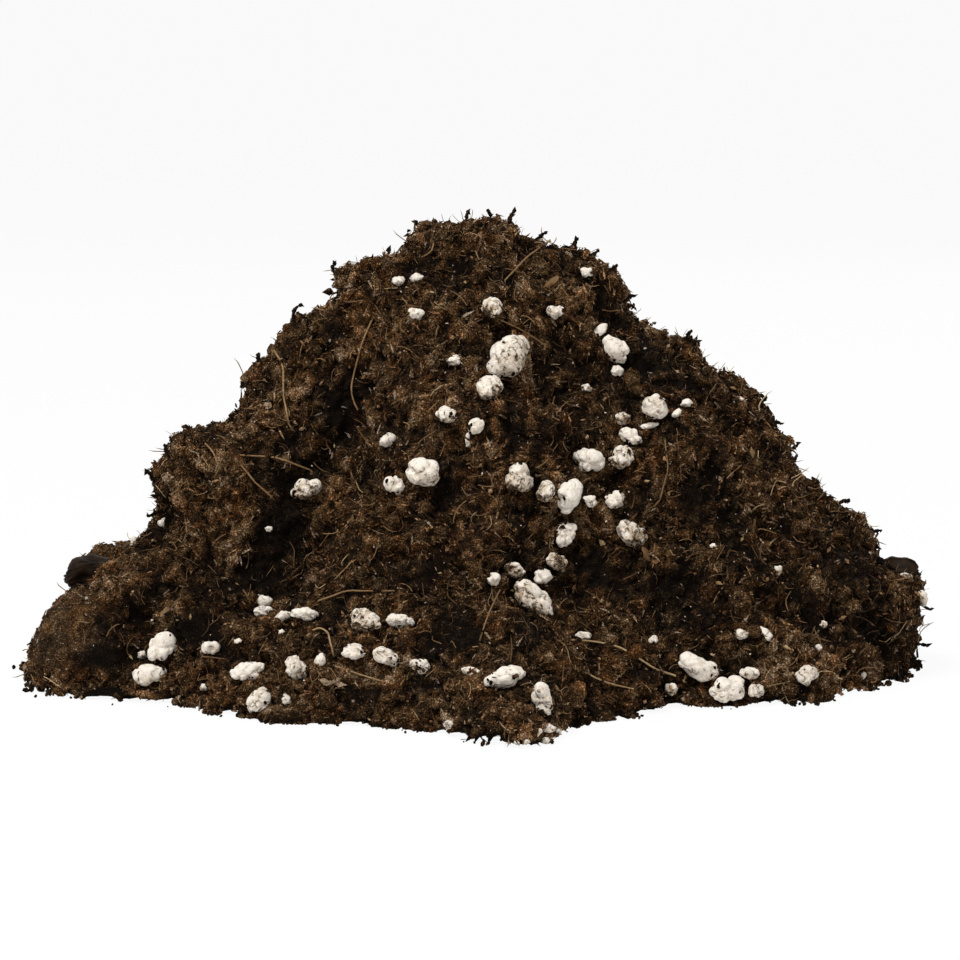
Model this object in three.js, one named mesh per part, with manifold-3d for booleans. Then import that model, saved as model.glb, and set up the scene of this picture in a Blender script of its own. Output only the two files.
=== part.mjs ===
// A loose heap of potting mix: a mass of peat and coir, perlite granules and two chips of bark.
// Millimetres, +Z up. The origin is on the floor under the middle of the heap, and the front faces -Y.
import * as THREE from 'three';
import { mergeVertices } from 'three/addons/utils/BufferGeometryUtils.js';
import Module from 'manifold-3d';

const wasm = await Module();
wasm.setup();

// The heap's height, and its reach from the peak's axis to the foot in each direction.
const PEAK_HEIGHT = 95.5;
const LEFT_REACH = 101.3;
const LEFT_BAY_REACH = 83;
const FRONT_LEFT_REACH = 81;
const FRONT_RIGHT_REACH = 68;
const RIGHT_BULGE_REACH = 87;
const RIGHT_REACH = 94.2;
const BACK_REACH = 86;

// The tongue of loose mix that has run out at the front: its direction, length and half width as a turn,
// and the share of the way down the slope at which it starts.
const SPILL_TURN = 5.5;
const SPILL_LENGTH = 25;
const SPILL_SPREAD = 9.5;
const SPILL_START = 0.72;

// The lumps all over the soil: broad clods, and the crumbs that ride on them.
const CLOD_WIDTH = 16;
const CLOD_HEIGHT = 4.2;
const CRUMB_WIDTH = 8;
const CRUMB_HEIGHT = 2.6;

// How the granules sit: the gap to the soil around them, and how far they stand out of it.
const SEAT_GAP = 0.3;
const PERCH = 0.5;
const FLOOR_GAP = 0.4;

// The bark chips, how much of each one's length is buried, and where and how it sticks out.
const LEFT_CHIP = {
  length: 15, width: 7.5, thickness: 4.5, edge: 1.2, buried: 7.4, turn: -84, down: 0.812, pitch: 6, roll: 80,
};
const RIGHT_CHIP = {
  length: 10, width: 4.6, thickness: 2.6, edge: 0.6, buried: 3.2, turn: 88, down: 0.836, pitch: 5, roll: 60,
};

// The front view in which forms and granules are placed: its tilt from the horizon and the eye's distance.
const VIEW_TILT = THREE.MathUtils.degToRad(7);
const EYE_DISTANCE = 900;
const EYE_LEVEL = 40;

// How far behind the axis the clods and hollows of the front view fade out.
const FRONT_FORM_DEPTH = 22;

// Fineness of the surfaces.
const HEAP_DETAIL = 40;
const GRANULE_DETAIL = 1;

// The unit in which the tables of mounds, front forms and granules give their lengths.
const TABLE_UNIT = 1;

// Where the foot of the heap lies all the way round.
// Directions are turns in degrees from the front, to the right as the front is seen.
const FOOT = [
  { turn: -118, reach: BACK_REACH },
  { turn: -72, reach: LEFT_REACH },
  { turn: -49, reach: LEFT_BAY_REACH },
  { turn: -24, reach: FRONT_LEFT_REACH },
  { turn: 35, reach: FRONT_RIGHT_REACH },
  { turn: 60, reach: RIGHT_BULGE_REACH },
  { turn: 84, reach: RIGHT_REACH },
  { turn: 128, reach: BACK_REACH },
];

// The slopes as seen in section, from the peak to the foot: share of the reach, share of the height.
const LEFT_SLOPE = [
  [0, 1], [0.12, 0.985], [0.25, 0.94], [0.33, 0.89], [0.38, 0.83], [0.42, 0.765], [0.5, 0.63], [0.64, 0.575],
  [0.715, 0.475], [0.72, 0.33], [0.84, 0.245], [0.92, 0.15], [0.98, 0.08], [1, 0.03], [0.99, 0],
];
const RIGHT_SLOPE = [
  [0, 1], [0.1, 1], [0.185, 0.97], [0.325, 0.9], [0.39, 0.8], [0.46, 0.76], [0.53, 0.712], [0.64, 0.588],
  [0.73, 0.448], [0.85, 0.354], [0.975, 0.238], [1.015, 0.168], [1, 0.06], [0.99, 0],
];
const FRONT_SLOPE = [
  [0, 1], [0.14, 0.98], [0.3, 0.84], [0.46, 0.63], [0.6, 0.44], [0.73, 0.28], [0.84, 0.17],
  [0.96, 0.07], [1, 0],
];
const BACK_SLOPE = [[0, 1], [0.16, 0.97], [0.38, 0.76], [0.6, 0.48], [0.8, 0.24], [0.95, 0.09], [1, 0]];

const SECTIONS = [
  { turn: -118, slope: BACK_SLOPE },
  { turn: -72, slope: LEFT_SLOPE },
  { turn: -24, slope: FRONT_SLOPE },
  { turn: 27, slope: FRONT_SLOPE },
  { turn: 84, slope: RIGHT_SLOPE },
  { turn: 128, slope: BACK_SLOPE },
].map(({ turn, slope }) => ({
  turn,
  curve: new THREE.SplineCurve(slope.map(([out, up]) => new THREE.Vector2(out, up))),
}));

// Single mounds and hollows in the slopes: where, how broad, and how high (below zero for a hollow).
const MOUNDS = [
  { turn: -44, down: 0.55, radius: 10, height: -14 },
  { turn: -45, down: 0.67, radius: 9, height: -9 },
  { turn: -47, down: 0.78, radius: 10, height: -7 },
  { turn: -62, down: 0.85, radius: 7, height: -6 },
  { turn: -60, down: 0.93, radius: 5, height: -4 },
  { turn: -69, down: 0.92, radius: 10, height: 3 },
  { turn: -30, down: 0.72, radius: 11, height: 3.5 },
  { turn: 12, down: 0.45, radius: 15, height: 4 },
  { turn: 40, down: 0.4, radius: 10, height: -3.5 },
  { turn: 42, down: 0.58, radius: 10, height: -3.5 },
  { turn: 58, down: 0.62, radius: 16, height: 3.5 },
  { turn: 60, down: 0.87, radius: 9, height: -5 },
  { turn: 20, down: 0.75, radius: 12, height: -3 },
  { turn: -8, down: 0.85, radius: 14, height: 2.5 },
];

// Clods and hollows of the front view: across from the axis, up from the floor line, half length, half width,
// roll in degrees, and how far they rise (below zero for a hollow).
const FRONT_FORMS = [
  [-29.5, 58, 10, 4.5, 61, -3.5], [-41.5, 49, 6.5, 4, 20, -1.5], [-44.5, 27.5, 11.5, 5, 55, -2.5],
  [-48.5, 19, 9, 3.6, 0, -1.5], [-76, 11.5, 8, 3.6, 50, -2.5], [-62, 7.5, 6.5, 3.8, 10, -2],
  [-84, 0.5, 7, 2.8, 18, -1.5], [-11, 20, 5.5, 4, 30, -2], [-8, 5, 8.5, 2.8, 0, -1.5],
  [-8, 39.5, 6, 3.5, 80, -1.5], [18, 58, 12, 7, 0, -1.5], [33.5, 19.5, 15, 7, -30, -2],
  [48.5, 38, 6.5, 4, 85, -2], [48, 15.5, 6, 4, 70, -1.5], [71, 14, 15, 3.4, -22, -2],
  [88, 5.5, 10, 3, -22, -1.5], [28, 73.5, 7.5, 3.5, 100, -1.5], [46, 65.5, 7.5, 4, -35, -1.5],
  [-4.5, 87.5, 9.5, 3.6, 0, -2], [-50, 64, 7, 7, 0, 4], [-35, 81.5, 4.5, 4, 0, -8],
  [-27, 90, 4.5, 4, 0, 2.5], [-73, 42, 6, 5, 0, 0.8], [-71.5, 33.5, 4, 4, 0, -3],
  [-56.5, 57.5, 5, 5, 0, -2], [3, 97.5, 4.5, 4.5, 0, 3.5], [11, 97, 5, 5, 0, -3.5],
  [-12.5, 95, 3.5, 3.5, 0, 2.5], [-19, 93, 4, 3.5, 0, -2.5], [27, 87, 6, 6, 0, 1.5],
  [34.5, 80, 3.5, 3.5, 0, -1.5], [43, 72, 6, 5, -30, 1], [50, 70, 4, 3.5, 0, 1.5], [62, 58, 6, 5, 0, 2],
  [70, 47, 4.5, 4, 0, 6], [80, 37, 5, 5, 0, -0.5], [87, 28.5, 4, 3.5, 0, 2], [97, 14.5, 5, 4, 0, 4.5],
  [-101, 4, 4, 4, 0, -2.5], [-99, -4, 6, 3.5, 0, 2.5], [-88, 9, 6, 6, 0, 1], [-78, 27, 4.5, 4, 0, 2.5],
];

// Perlite in the front view: across from the axis, up from the floor line, length, width, roll in degrees.
const FRONT_GRANULES = [
  [7.2, 67.6, 9.6, 7.2, 48], [3, 60.8, 5.9, 4.8, 15], [3.5, 78.3, 5.1, 4.6, 20], [17.2, 77.7, 4, 3.3, -20],
  [-6.6, 54.8, 5, 3.3, -15], [-0.2, 52.4, 4.1, 3.3, 25], [-11.7, 42.2, 7.7, 6, -10],
  [-18.3, 39.4, 4.6, 3.9, 20], [-37.6, 38.5, 6.4, 4.6, 35], [30.6, 69.5, 7.5, 4.8, -62],
  [39.2, 56.7, 6.1, 5.3, -50], [33.9, 50.2, 5.3, 3.6, -10], [24.6, 45.2, 7.3, 5.3, -28],
  [31.8, 45.8, 6.2, 4.8, 10], [9.5, 40.9, 5.9, 5.8, 0],
  [15.1, 38.2, 4.6, 4.5, 30], [20.4, 36.6, 7.9, 5.2, 62], [30.1, 36.2, 4.2, 4, 0], [19.4, 28.4, 5.7, 3.8, 62],
  [33.9, 28.8, 7.2, 4.8, -45], [17.8, 22.7, 4.4, 4.2, 0], [8.5, 20.7, 4.7, 3.3, 5],
  [14.6, 19.3, 3.9, 3.8, 40], [12.5, 14.3, 10.8, 5.4, -42], [-46.3, 11.4, 5.5, 2.8, 0],
  [-37.7, 11, 5.9, 2.8, 5], [-24.6, 9.7, 6.6, 4.9, 0],
  [-16.9, 9.3, 5.7, 3.3, 0], [-69.3, 3.9, 7, 5.8, 20], [-71.9, -2, 7.7, 4.2, 15],
  [-50.4, -1.7, 7.1, 3.7, 12], [-39.6, -0.7, 5.3, 5.1, 0], [-27, 2.8, 5.4, 3.2, -8],
  [-20, 1.7, 6.1, 3.6, -25], [-12.4, -0.2, 4.4, 3.1, -30], [-48, -8.3, 6.4, 4.4, 40], [6.4, -3, 8.8, 4.2, 20],
  [14.7, -7.6, 7, 4.4, -65], [48.6, -1, 9.1, 5.2, -15], [55.2, -5.6, 7.6, 5.2, 5], [60, -2.2, 4.3, 3, 10],
  [61.4, -5.6, 3.8, 3.4, 0], [72.6, -2.4, 4.8, 4.6, 60],
];

// Perlite on the far side, as seen from behind.
const BACK_GRANULES = [
  [-8, 71, 6.2, 5, 25], [21, 58, 7.4, 5.6, -30], [-33, 47, 5.2, 4.2, 10], [6, 38, 8.6, 6, -15],
  [40, 31, 6, 4.6, 40], [-20, 22, 6.8, 5.2, -50], [-58, 12, 5.6, 4.4, 15], [24, 10, 7, 4.8, 20],
  [58, 6, 5, 4, -20],
];

// A steady pseudo-random number from 0 to 1 for a whole-number point.
function scatter(x, y, z) {
  let bits = Math.imul(x, 374761393) ^ Math.imul(y, 668265263) ^ Math.imul(z, 2147483647);
  bits = Math.imul(bits ^ (bits >>> 13), 1274126177);
  return ((bits ^ (bits >>> 16)) >>> 0) / 4294967296;
}

// Smooth noise from -1 to 1 whose lumps are about `width` across.
function noise(point, width) {
  const cell = point.clone().divideScalar(width).floor();
  const part = point.clone().divideScalar(width).sub(cell);
  const share = (t, far) => THREE.MathUtils.smoothstep(far ? t : 1 - t, 0, 1);
  let sum = 0;
  for (let corner = 0; corner < 8; corner++) {
    const [i, j, k] = [corner & 1, (corner >> 1) & 1, corner >> 2];
    const weight = share(part.x, i) * share(part.y, j) * share(part.z, k);
    sum += weight * scatter(cell.x + i, cell.y + j, cell.z + k);
  }
  return 2 * sum - 1;
}

// The outward level direction of a turn.
function outward(turn) {
  const angle = THREE.MathUtils.degToRad(turn);
  return new THREE.Vector3(Math.sin(angle), -Math.cos(angle), 0);
}

// The rows on both sides of a turn, and the share of the way from the first to the second.
function between(rows, turn) {
  const next = rows.findIndex((row) => row.turn >= turn);
  const after = rows[next < 0 ? 0 : next];
  const before = rows[(next <= 0 ? rows.length : next) - 1];
  const gap = THREE.MathUtils.euclideanModulo(after.turn - before.turn, 360);
  const past = THREE.MathUtils.euclideanModulo(turn - before.turn, 360);
  return { before, after, share: THREE.MathUtils.smoothstep(past / gap, 0, 1) };
}

// A point of the plain slope, before its lumps: `down` runs from 0 at the peak to 1 at the foot.
function slopePoint(turn, down) {
  const foot = between(FOOT, turn);
  const reach = THREE.MathUtils.lerp(foot.before.reach, foot.after.reach, foot.share);
  const { before, after, share } = between(SECTIONS, turn);
  const { x: out, y: up } = before.curve.getPointAt(down).lerp(after.curve.getPointAt(down), share);
  const spill = SPILL_LENGTH * Math.exp(-(((turn - SPILL_TURN) / SPILL_SPREAD) ** 2));
  const away = out * reach + spill * THREE.MathUtils.smoothstep(down, SPILL_START, 1);
  return outward(turn).multiplyScalar(away).setZ(up * PEAK_HEIGHT);
}

const mounds = MOUNDS.map(({ turn, down, radius, height }) => ({
  centre: slopePoint(turn, down),
  radius: radius * TABLE_UNIT,
  height: height * TABLE_UNIT,
}));

// A view of the heap from `turn`, with its picture plane through the axis: right, up, back and the eye.
function viewFrom(turn) {
  const back = outward(turn).multiplyScalar(Math.cos(VIEW_TILT)).setZ(Math.sin(VIEW_TILT));
  const right = new THREE.Vector3(0, 0, 1).cross(back).normalize();
  const up = back.clone().cross(right);
  const eye = up.clone().multiplyScalar(EYE_LEVEL).addScaledVector(back, EYE_DISTANCE);
  return { right, up, back, eye };
}

const frontView = viewFrom(0);

// How far the clods and hollows of the front view raise a point of the slope.
function frontForm(point) {
  const sight = point.clone().sub(frontView.eye);
  sight.multiplyScalar(-EYE_DISTANCE / sight.dot(frontView.back)).add(frontView.eye);
  const place = new THREE.Vector2(sight.dot(frontView.right), sight.dot(frontView.up));
  const fromFront = Math.max(0, point.y) / FRONT_FORM_DEPTH;
  let rise = 0;
  for (const row of FRONT_FORMS) {
    const [across, up, length, width, , height] = row.map((value) => value * TABLE_UNIT);
    const roll = THREE.MathUtils.degToRad(row[4]);
    const offset = new THREE.Vector2(across, up).sub(place).rotateAround(new THREE.Vector2(), -roll);
    rise += height * Math.exp(-((offset.x / length) ** 2) - (offset.y / width) ** 2 - fromFront ** 2);
  }
  return rise;
}

// A point of the heap's surface: the slope with its mounds, clods and crumbs, and its foot on the floor.
function heapPoint(turn, down) {
  const point = slopePoint(turn, down);
  const crumb = 2 * Math.abs(noise(point, CRUMB_WIDTH)) - 0.5;
  let swell = CLOD_HEIGHT * noise(point, CLOD_WIDTH) + CRUMB_HEIGHT * crumb + frontForm(point);
  for (const { centre, radius, height } of mounds) {
    swell += height * Math.exp(-centre.distanceToSquared(point) / radius ** 2);
  }
  const steepness = 1 - down ** 8;
  const away = outward(turn).setZ(steepness).normalize();
  point.addScaledVector(away, swell);
  point.z = down < 1 ? Math.max(point.z, FLOOR_GAP) : 0;
  return point;
}

// Drops all but the positions and joins the vertices that share a place.
function joined(geometry) {
  const bare = new THREE.BufferGeometry();
  bare.setAttribute('position', geometry.getAttribute('position'));
  bare.setIndex(geometry.getIndex());
  return mergeVertices(bare);
}

// The soil's outer form: a ball's upper half laid over the slopes, its lower half drawn in to a flat base.
function heapGeometry() {
  const ball = joined(new THREE.OctahedronGeometry(1, HEAP_DETAIL).rotateZ(Math.PI / 4));
  const position = ball.getAttribute('position');
  const middle = new THREE.Vector3();
  for (let i = 0; i < position.count; i++) {
    const [x, y, z] = [position.getX(i), position.getY(i), position.getZ(i)];
    const onTop = z > -1e-6;
    const turn = THREE.MathUtils.radToDeg(Math.atan2(x, -y));
    const down = Math.min(1, Math.sqrt(2) * Math.sin(Math.acos(THREE.MathUtils.clamp(z, 0, 1)) / 2));
    const point = onTop ? heapPoint(turn, z < 1e-6 ? 1 : down) : middle;
    position.setXYZ(i, point.x, point.y, point.z);
  }
  const closed = joined(ball);
  const corners = closed.getIndex().array;
  const kept = [];
  for (let i = 0; i < corners.length; i += 3) {
    const [a, b, c] = corners.subarray(i, i + 3);
    if (a !== b && b !== c && c !== a) kept.push(a, b, c);
  }
  closed.setIndex(kept);
  return closed;
}

// A granule of expanded glass: a few bubbles grown into one another, fitted to its length, width and depth.
function granuleGeometry(seed, size) {
  const ball = joined(new THREE.IcosahedronGeometry(1, GRANULE_DETAIL));
  const bubbles = [0, 1, 2, 3, 4].map((bubble) => {
    const spread = 0.34 + 0.22 * scatter(seed, bubble, 4);
    const axis = new THREE.Vector3(...[1, 2, 3].map((part) => 2 * scatter(seed, bubble, part) - 1));
    const radius = 0.66 + 0.12 * scatter(seed, bubble, 5);
    return { centre: axis.normalize().multiplyScalar(spread), radius };
  });
  const position = ball.getAttribute('position');
  const ray = new THREE.Vector3();
  for (let i = 0; i < position.count; i++) {
    ray.fromBufferAttribute(position, i);
    const reaches = bubbles.map(({ centre, radius }) => {
      const along = centre.dot(ray);
      return along + Math.sqrt(along ** 2 - centre.lengthSq() + radius ** 2);
    });
    ray.multiplyScalar(Math.max(...reaches));
    position.setXYZ(i, ray.x, ray.y, ray.z);
  }
  ball.computeBoundingBox();
  const extent = ball.boundingBox.getSize(new THREE.Vector3());
  ball.center().scale(size.x / extent.x, size.y / extent.y, size.z / extent.z);
  return ball;
}

// A worn flake of bark lying along +X, with one blunt end and rounded edges.
function chipGeometry({ length, width, thickness, edge }) {
  const [half, side] = [length / 2 - edge, width / 2 - edge];
  const outline = new THREE.Shape();
  outline.moveTo(-half, -side * 0.6);
  outline.quadraticCurveTo(-half * 0.4, -side * 1.2, half * 0.5, -side);
  outline.quadraticCurveTo(half, -side * 0.8, half, 0);
  outline.quadraticCurveTo(half, side, half * 0.3, side);
  outline.quadraticCurveTo(-half * 0.5, side, -half, side * 0.5);
  outline.closePath();
  const bevel = { bevelSize: edge, bevelThickness: edge, bevelSegments: 2 };
  const flat = { depth: thickness - 2 * edge, curveSegments: 5, ...bevel };
  return joined(new THREE.ExtrudeGeometry(outline, flat).center());
}

const soilMaterial = new THREE.MeshStandardMaterial({ color: 0x33251a, roughness: 0.95, metalness: 0 });
const perliteMaterial = new THREE.MeshStandardMaterial({ color: 0xe8e2d8, roughness: 0.85, metalness: 0 });
const barkMaterial = new THREE.MeshStandardMaterial({ color: 0x1e1612, roughness: 0.7, metalness: 0 });

const heap = new THREE.Mesh(heapGeometry(), soilMaterial);
heap.name = 'soil_heap';

// Where a line of sight meets the soil, or the soil's nearest point to it.
function sightedPoint(eye, target) {
  const sight = new THREE.Raycaster(eye, target.clone().sub(eye).normalize());
  const hits = sight.intersectObject(heap);
  if (hits.length) return hits[0].point;
  const position = heap.geometry.getAttribute('position');
  const vertex = (_, i) => new THREE.Vector3().fromBufferAttribute(position, i);
  const points = Array.from({ length: position.count }, vertex);
  const gaps = points.map((point) => sight.ray.distanceSqToPoint(point));
  return points[gaps.indexOf(Math.min(...gaps))];
}

// A perlite granule, turned to face the view and set part-way into the soil.
function granule(view, row, number) {
  const [across, up, length, width] = row.slice(0, 4).map((value) => value * TABLE_UNIT);
  const roll = row[4];
  const size = new THREE.Vector3(length, width, width);
  const mesh = new THREE.Mesh(granuleGeometry(number, size), perliteMaterial);
  mesh.name = `perlite_granule_${String(number).padStart(2, '0')}`;
  const facing = new THREE.Matrix4().makeBasis(view.right, view.up, view.back);
  mesh.quaternion.setFromRotationMatrix(facing);
  mesh.rotateZ(THREE.MathUtils.degToRad(roll));
  const target = view.right.clone().multiplyScalar(across).addScaledVector(view.up, up);
  const touch = sightedPoint(view.eye, target);
  const towardsEye = view.eye.clone().sub(touch).normalize();
  mesh.position.copy(touch).addScaledVector(towardsEye, PERCH * width / 2);
  const lowest = new THREE.Box3().setFromObject(mesh, true).min.z;
  mesh.position.z += Math.max(0, FLOOR_GAP - lowest);
  return mesh;
}

// A chip that sticks out of the slope at its turn and share of the way down, leaning by its pitch.
function chip(name, form) {
  const mesh = new THREE.Mesh(chipGeometry(form), barkMaterial);
  mesh.name = name;
  const angles = [form.roll, -form.pitch, form.turn - 90].map(THREE.MathUtils.degToRad);
  mesh.rotation.set(...angles, 'ZYX');
  const lengthwise = new THREE.Vector3(1, 0, 0).applyEuler(mesh.rotation);
  const root = heapPoint(form.turn, form.down);
  mesh.position.copy(root).addScaledVector(lengthwise, form.length / 2 - form.buried);
  return mesh;
}

const granules = [
  ...FRONT_GRANULES.map((row) => [frontView, row]),
  ...BACK_GRANULES.map((row) => [viewFrom(180), row]),
].map(([view, row], index) => granule(view, row, index + 1));
const chips = [
  chip('bark_chip_left', LEFT_CHIP),
  chip('bark_chip_right', RIGHT_CHIP),
];

// A mesh as a solid in the heap's frame, grown on all sides by `gap`.
function solidOf(mesh, gap) {
  const geometry = mesh.geometry.clone();
  geometry.computeBoundingBox();
  const extent = geometry.boundingBox.getSize(new THREE.Vector3());
  const growth = extent.clone().addScalar(2 * gap).divide(extent);
  mesh.updateMatrix();
  geometry.scale(growth.x, growth.y, growth.z).applyMatrix4(mesh.matrix);
  const vertProperties = geometry.getAttribute('position').array;
  const triVerts = new Uint32Array(geometry.getIndex().array);
  return new wasm.Manifold(new wasm.Mesh({ numProp: 3, vertProperties, triVerts }));
}

// The soil with a pocket around each piece that it holds. A crumb that a pocket cuts loose falls away.
function withPockets(soil, pieces) {
  const pocketed = pieces.reduce((rest, piece) => rest.subtract(solidOf(piece, SEAT_GAP)), solidOf(soil, 0));
  const [body] = pocketed.decompose().sort((a, b) => b.volume() - a.volume());
  const { vertProperties, triVerts } = body.getMesh();
  const geometry = new THREE.BufferGeometry();
  geometry.setAttribute('position', new THREE.BufferAttribute(vertProperties, 3));
  geometry.setIndex(new THREE.BufferAttribute(triVerts, 1));
  return geometry;
}

heap.geometry = withPockets(heap, [...granules, ...chips]);

// The whole heap, with its origin on the floor under the middle of its box.
const pottingMix = new THREE.Group();
const pieces = new THREE.Group();
pieces.add(heap, ...granules, ...chips);
const middle = new THREE.Box3().setFromObject(pieces, true).getCenter(new THREE.Vector3());
pieces.position.set(-middle.x, -middle.y, 0);
pottingMix.add(pieces);

export default pottingMix;
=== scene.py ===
"""A loose heap of potting mix: crumbly peat and coir, white perlite granules, fibres and chips of bark.

The soil is one crumbly mass with loose crumbs, moss tufts and fibres lying on it. The granules and
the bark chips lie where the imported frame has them. Everything is in metres, and the front faces -Y.
"""

import math

import bmesh
import bpy
import numpy as np
from bpy.props import FloatProperty, FloatVectorProperty, IntProperty, PointerProperty
from bpy.types import Operator, Panel, PropertyGroup
from mathutils import Euler, Matrix, Vector, noise
from mathutils.bvhtree import BVHTree


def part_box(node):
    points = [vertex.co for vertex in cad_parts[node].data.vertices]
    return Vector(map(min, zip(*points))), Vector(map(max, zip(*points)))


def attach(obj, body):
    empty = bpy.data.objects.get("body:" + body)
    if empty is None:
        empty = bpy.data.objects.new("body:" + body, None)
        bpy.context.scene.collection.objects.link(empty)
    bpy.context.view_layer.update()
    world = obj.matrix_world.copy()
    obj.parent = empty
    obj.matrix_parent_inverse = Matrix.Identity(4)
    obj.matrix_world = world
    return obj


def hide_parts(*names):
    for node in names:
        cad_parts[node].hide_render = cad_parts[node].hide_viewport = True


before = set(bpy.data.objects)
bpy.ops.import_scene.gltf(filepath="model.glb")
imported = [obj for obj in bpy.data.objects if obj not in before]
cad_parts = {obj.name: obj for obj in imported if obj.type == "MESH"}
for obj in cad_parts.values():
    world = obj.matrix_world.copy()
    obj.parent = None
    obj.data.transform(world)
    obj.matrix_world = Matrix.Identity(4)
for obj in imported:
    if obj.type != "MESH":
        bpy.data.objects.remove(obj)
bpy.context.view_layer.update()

bl_info = {
    "name": "Potting mix heap",
    "version": (1, 0, 0),
    "blender": (4, 5, 0),
    "location": "View3D > Sidebar > Potting mix",
    "description": "Builds a loose heap of peat, coir, perlite and bark",
    "category": "Object",
}

MM = 0.001
SOIL_NODE = "soil_heap"
GRANULE_NODES = sorted(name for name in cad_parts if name.startswith("perlite_granule"))
CHIP_NODES = ("bark_chip_left", "bark_chip_right")

# Seeds of the noise and of each step's random draws. Without its seed, the noise would follow the clock.
NOISE_SEED = 19
CRUMB_SEED = 11
MOSS_SEED = 23
FIBRE_SEED = 37
PERLITE_SEED = 53
BITS_SEED = 71
noise.seed_set(NOISE_SEED)

# The pressed clod at the left foot: how far left of the middle it starts, its foot and its top, each with
# the width over which it fades out.
CLOD_START = 73 * MM
CLOD_START_FADE = 6 * MM
CLOD_FOOT = 4 * MM
CLOD_FOOT_FADE = 3 * MM
CLOD_TOP = 25 * MM
CLOD_TOP_FADE = 7 * MM

# Usual length of a short fibre.
SHORT_LENGTH = 2.9 * MM

# The floor's half width and how far it lies under the heap, the height at which the lamps aim, and how far
# the camera sits to the right of the line of sight and over it.
FLOOR_REACH = 60.0
FLOOR_DROP = 0.1 * MM
LAMP_AIM = 40 * MM
EYE_RIGHT = 0.66 * MM
EYE_UP = 0.48 * MM

# Small perlite in the front view, in millimetres: across from the axis, up, length, width, roll, dirt.
SMALL_GRANULES = (
    (-17.2, 84.3, 2.9, 2.0, 0, 0.2),
    (-13.4, 84.7, 3.5, 2.6, 30, 0.1),
    (-13.2, 77.2, 3.3, 3.1, 0, 0.3),
    (-5.1, 66.9, 4.2, 2.4, 0, 0.3),
    (-2.0, 49.1, 3.5, 1.5, 90, 0.3),
    (-19.4, 49.3, 4.4, 3.3, 35, 0.2),
    (24.2, 86.2, 3.1, 2.6, 0, 0.1),
    (27.1, 73.3, 4.4, 2.6, 50, 0.2),
    (30.8, 64.5, 3.1, 2.6, 0, 0.1),
    (24.2, 60.7, 2.4, 2.2, 0, 0.5),
    (46.2, 57.4, 2.9, 2.0, 0, 0.1),
    (44.0, 55.2, 3.1, 1.8, 35, 0.1),
    (37.6, 52.4, 4.2, 1.8, 10, 0.2),
    (32.3, 54.1, 3.5, 3.1, 0, 0.8),
    (22.7, 42.9, 2.2, 1.8, 0, 0.2),
    (25.1, 35.9, 3.1, 2.9, 0, 0.1),
    (3.7, 18.7, 3.1, 3.1, 0, 0.3),
    (-46.6, 13.9, 3.5, 2.9, 0, 0.3),
    (-42.9, 10.3, 4.0, 2.6, 30, 0.3),
    (-42.9, 7.0, 1.5, 1.3, 0, 0.2),
    (-73.7, 2.0, 2.4, 2.0, 0, 0.2),
    (-58.7, 3.7, 3.7, 3.3, 0, 0.3),
    (-52.6, 5.1, 1.8, 1.3, 0, 0.2),
    (-34.5, 0.2, 4.6, 2.9, 80, 0.3),
    (-41.8, -7.7, 2.6, 2.4, 0, 0.2),
    (-0.7, -1.8, 5.1, 2.2, -20, 0.3),
    (15.6, -14.0, 3.5, 2.0, 0, 0.5),
    (13.0, -15.0, 2.8, 2.2, 0, 0.5),
    (17.6, -14.6, 2.6, 2.0, 0, 0.5),
    (-6.2, -13.2, 2.2, 2.0, 0, 0.4),
    (23.5, 6.2, 3.7, 2.2, 0, 0.3),
    (38.9, 5.3, 2.4, 2.0, 0, 0.3),
    (42.9, -5.5, 3.5, 3.3, 0, 0.6),
    (58.3, 6.6, 3.5, 2.2, 0, 0.3),
    (63.6, 6.6, 4.6, 2.0, -50, 0.3),
    (66.0, 20.5, 3.1, 2.6, 0, 0.6),
    (76.3, 8.8, 2.0, 1.8, 0, 0.5),
    (75.2, 3.7, 1.8, 1.5, 0, 0.3),
    (84.9, -2.4, 2.0, 1.8, 0, 0.3),
    (-75.5, 26.6, 3.3, 2.0, 90, 0.4),
    (-68.9, 31.0, 2.9, 2.6, 0, 0.2),
    (51.9, 26.0, 1.8, 1.3, 0, 0.3),
    (58.1, 58.3, 1.8, 1.3, 0, 0.2),
    (-59.2, 52.6, 1.8, 0.9, 0, 0.2),
    (-45.8, 29.7, 1.8, 1.5, 0, 0.2),
    (-60.1, -5.1, 1.8, 1.8, 0, 0.5),
    (95.0, 20.0, 3.5, 2.4, 0, 0.8),
    (99.5, 14.3, 3.7, 2.9, 80, 0.4),
    (11.0, -17.0, 1.6, 1.3, 0, 0.4),
    (15.2, -16.8, 2.0, 1.5, 20, 0.3),
    (18.5, -16.4, 1.5, 1.2, 0, 0.4),
    (8.8, -17.2, 1.2, 1.0, 0, 0.4),
    (20.5, -15.6, 1.3, 1.0, 0, 0.4),
)

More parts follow.
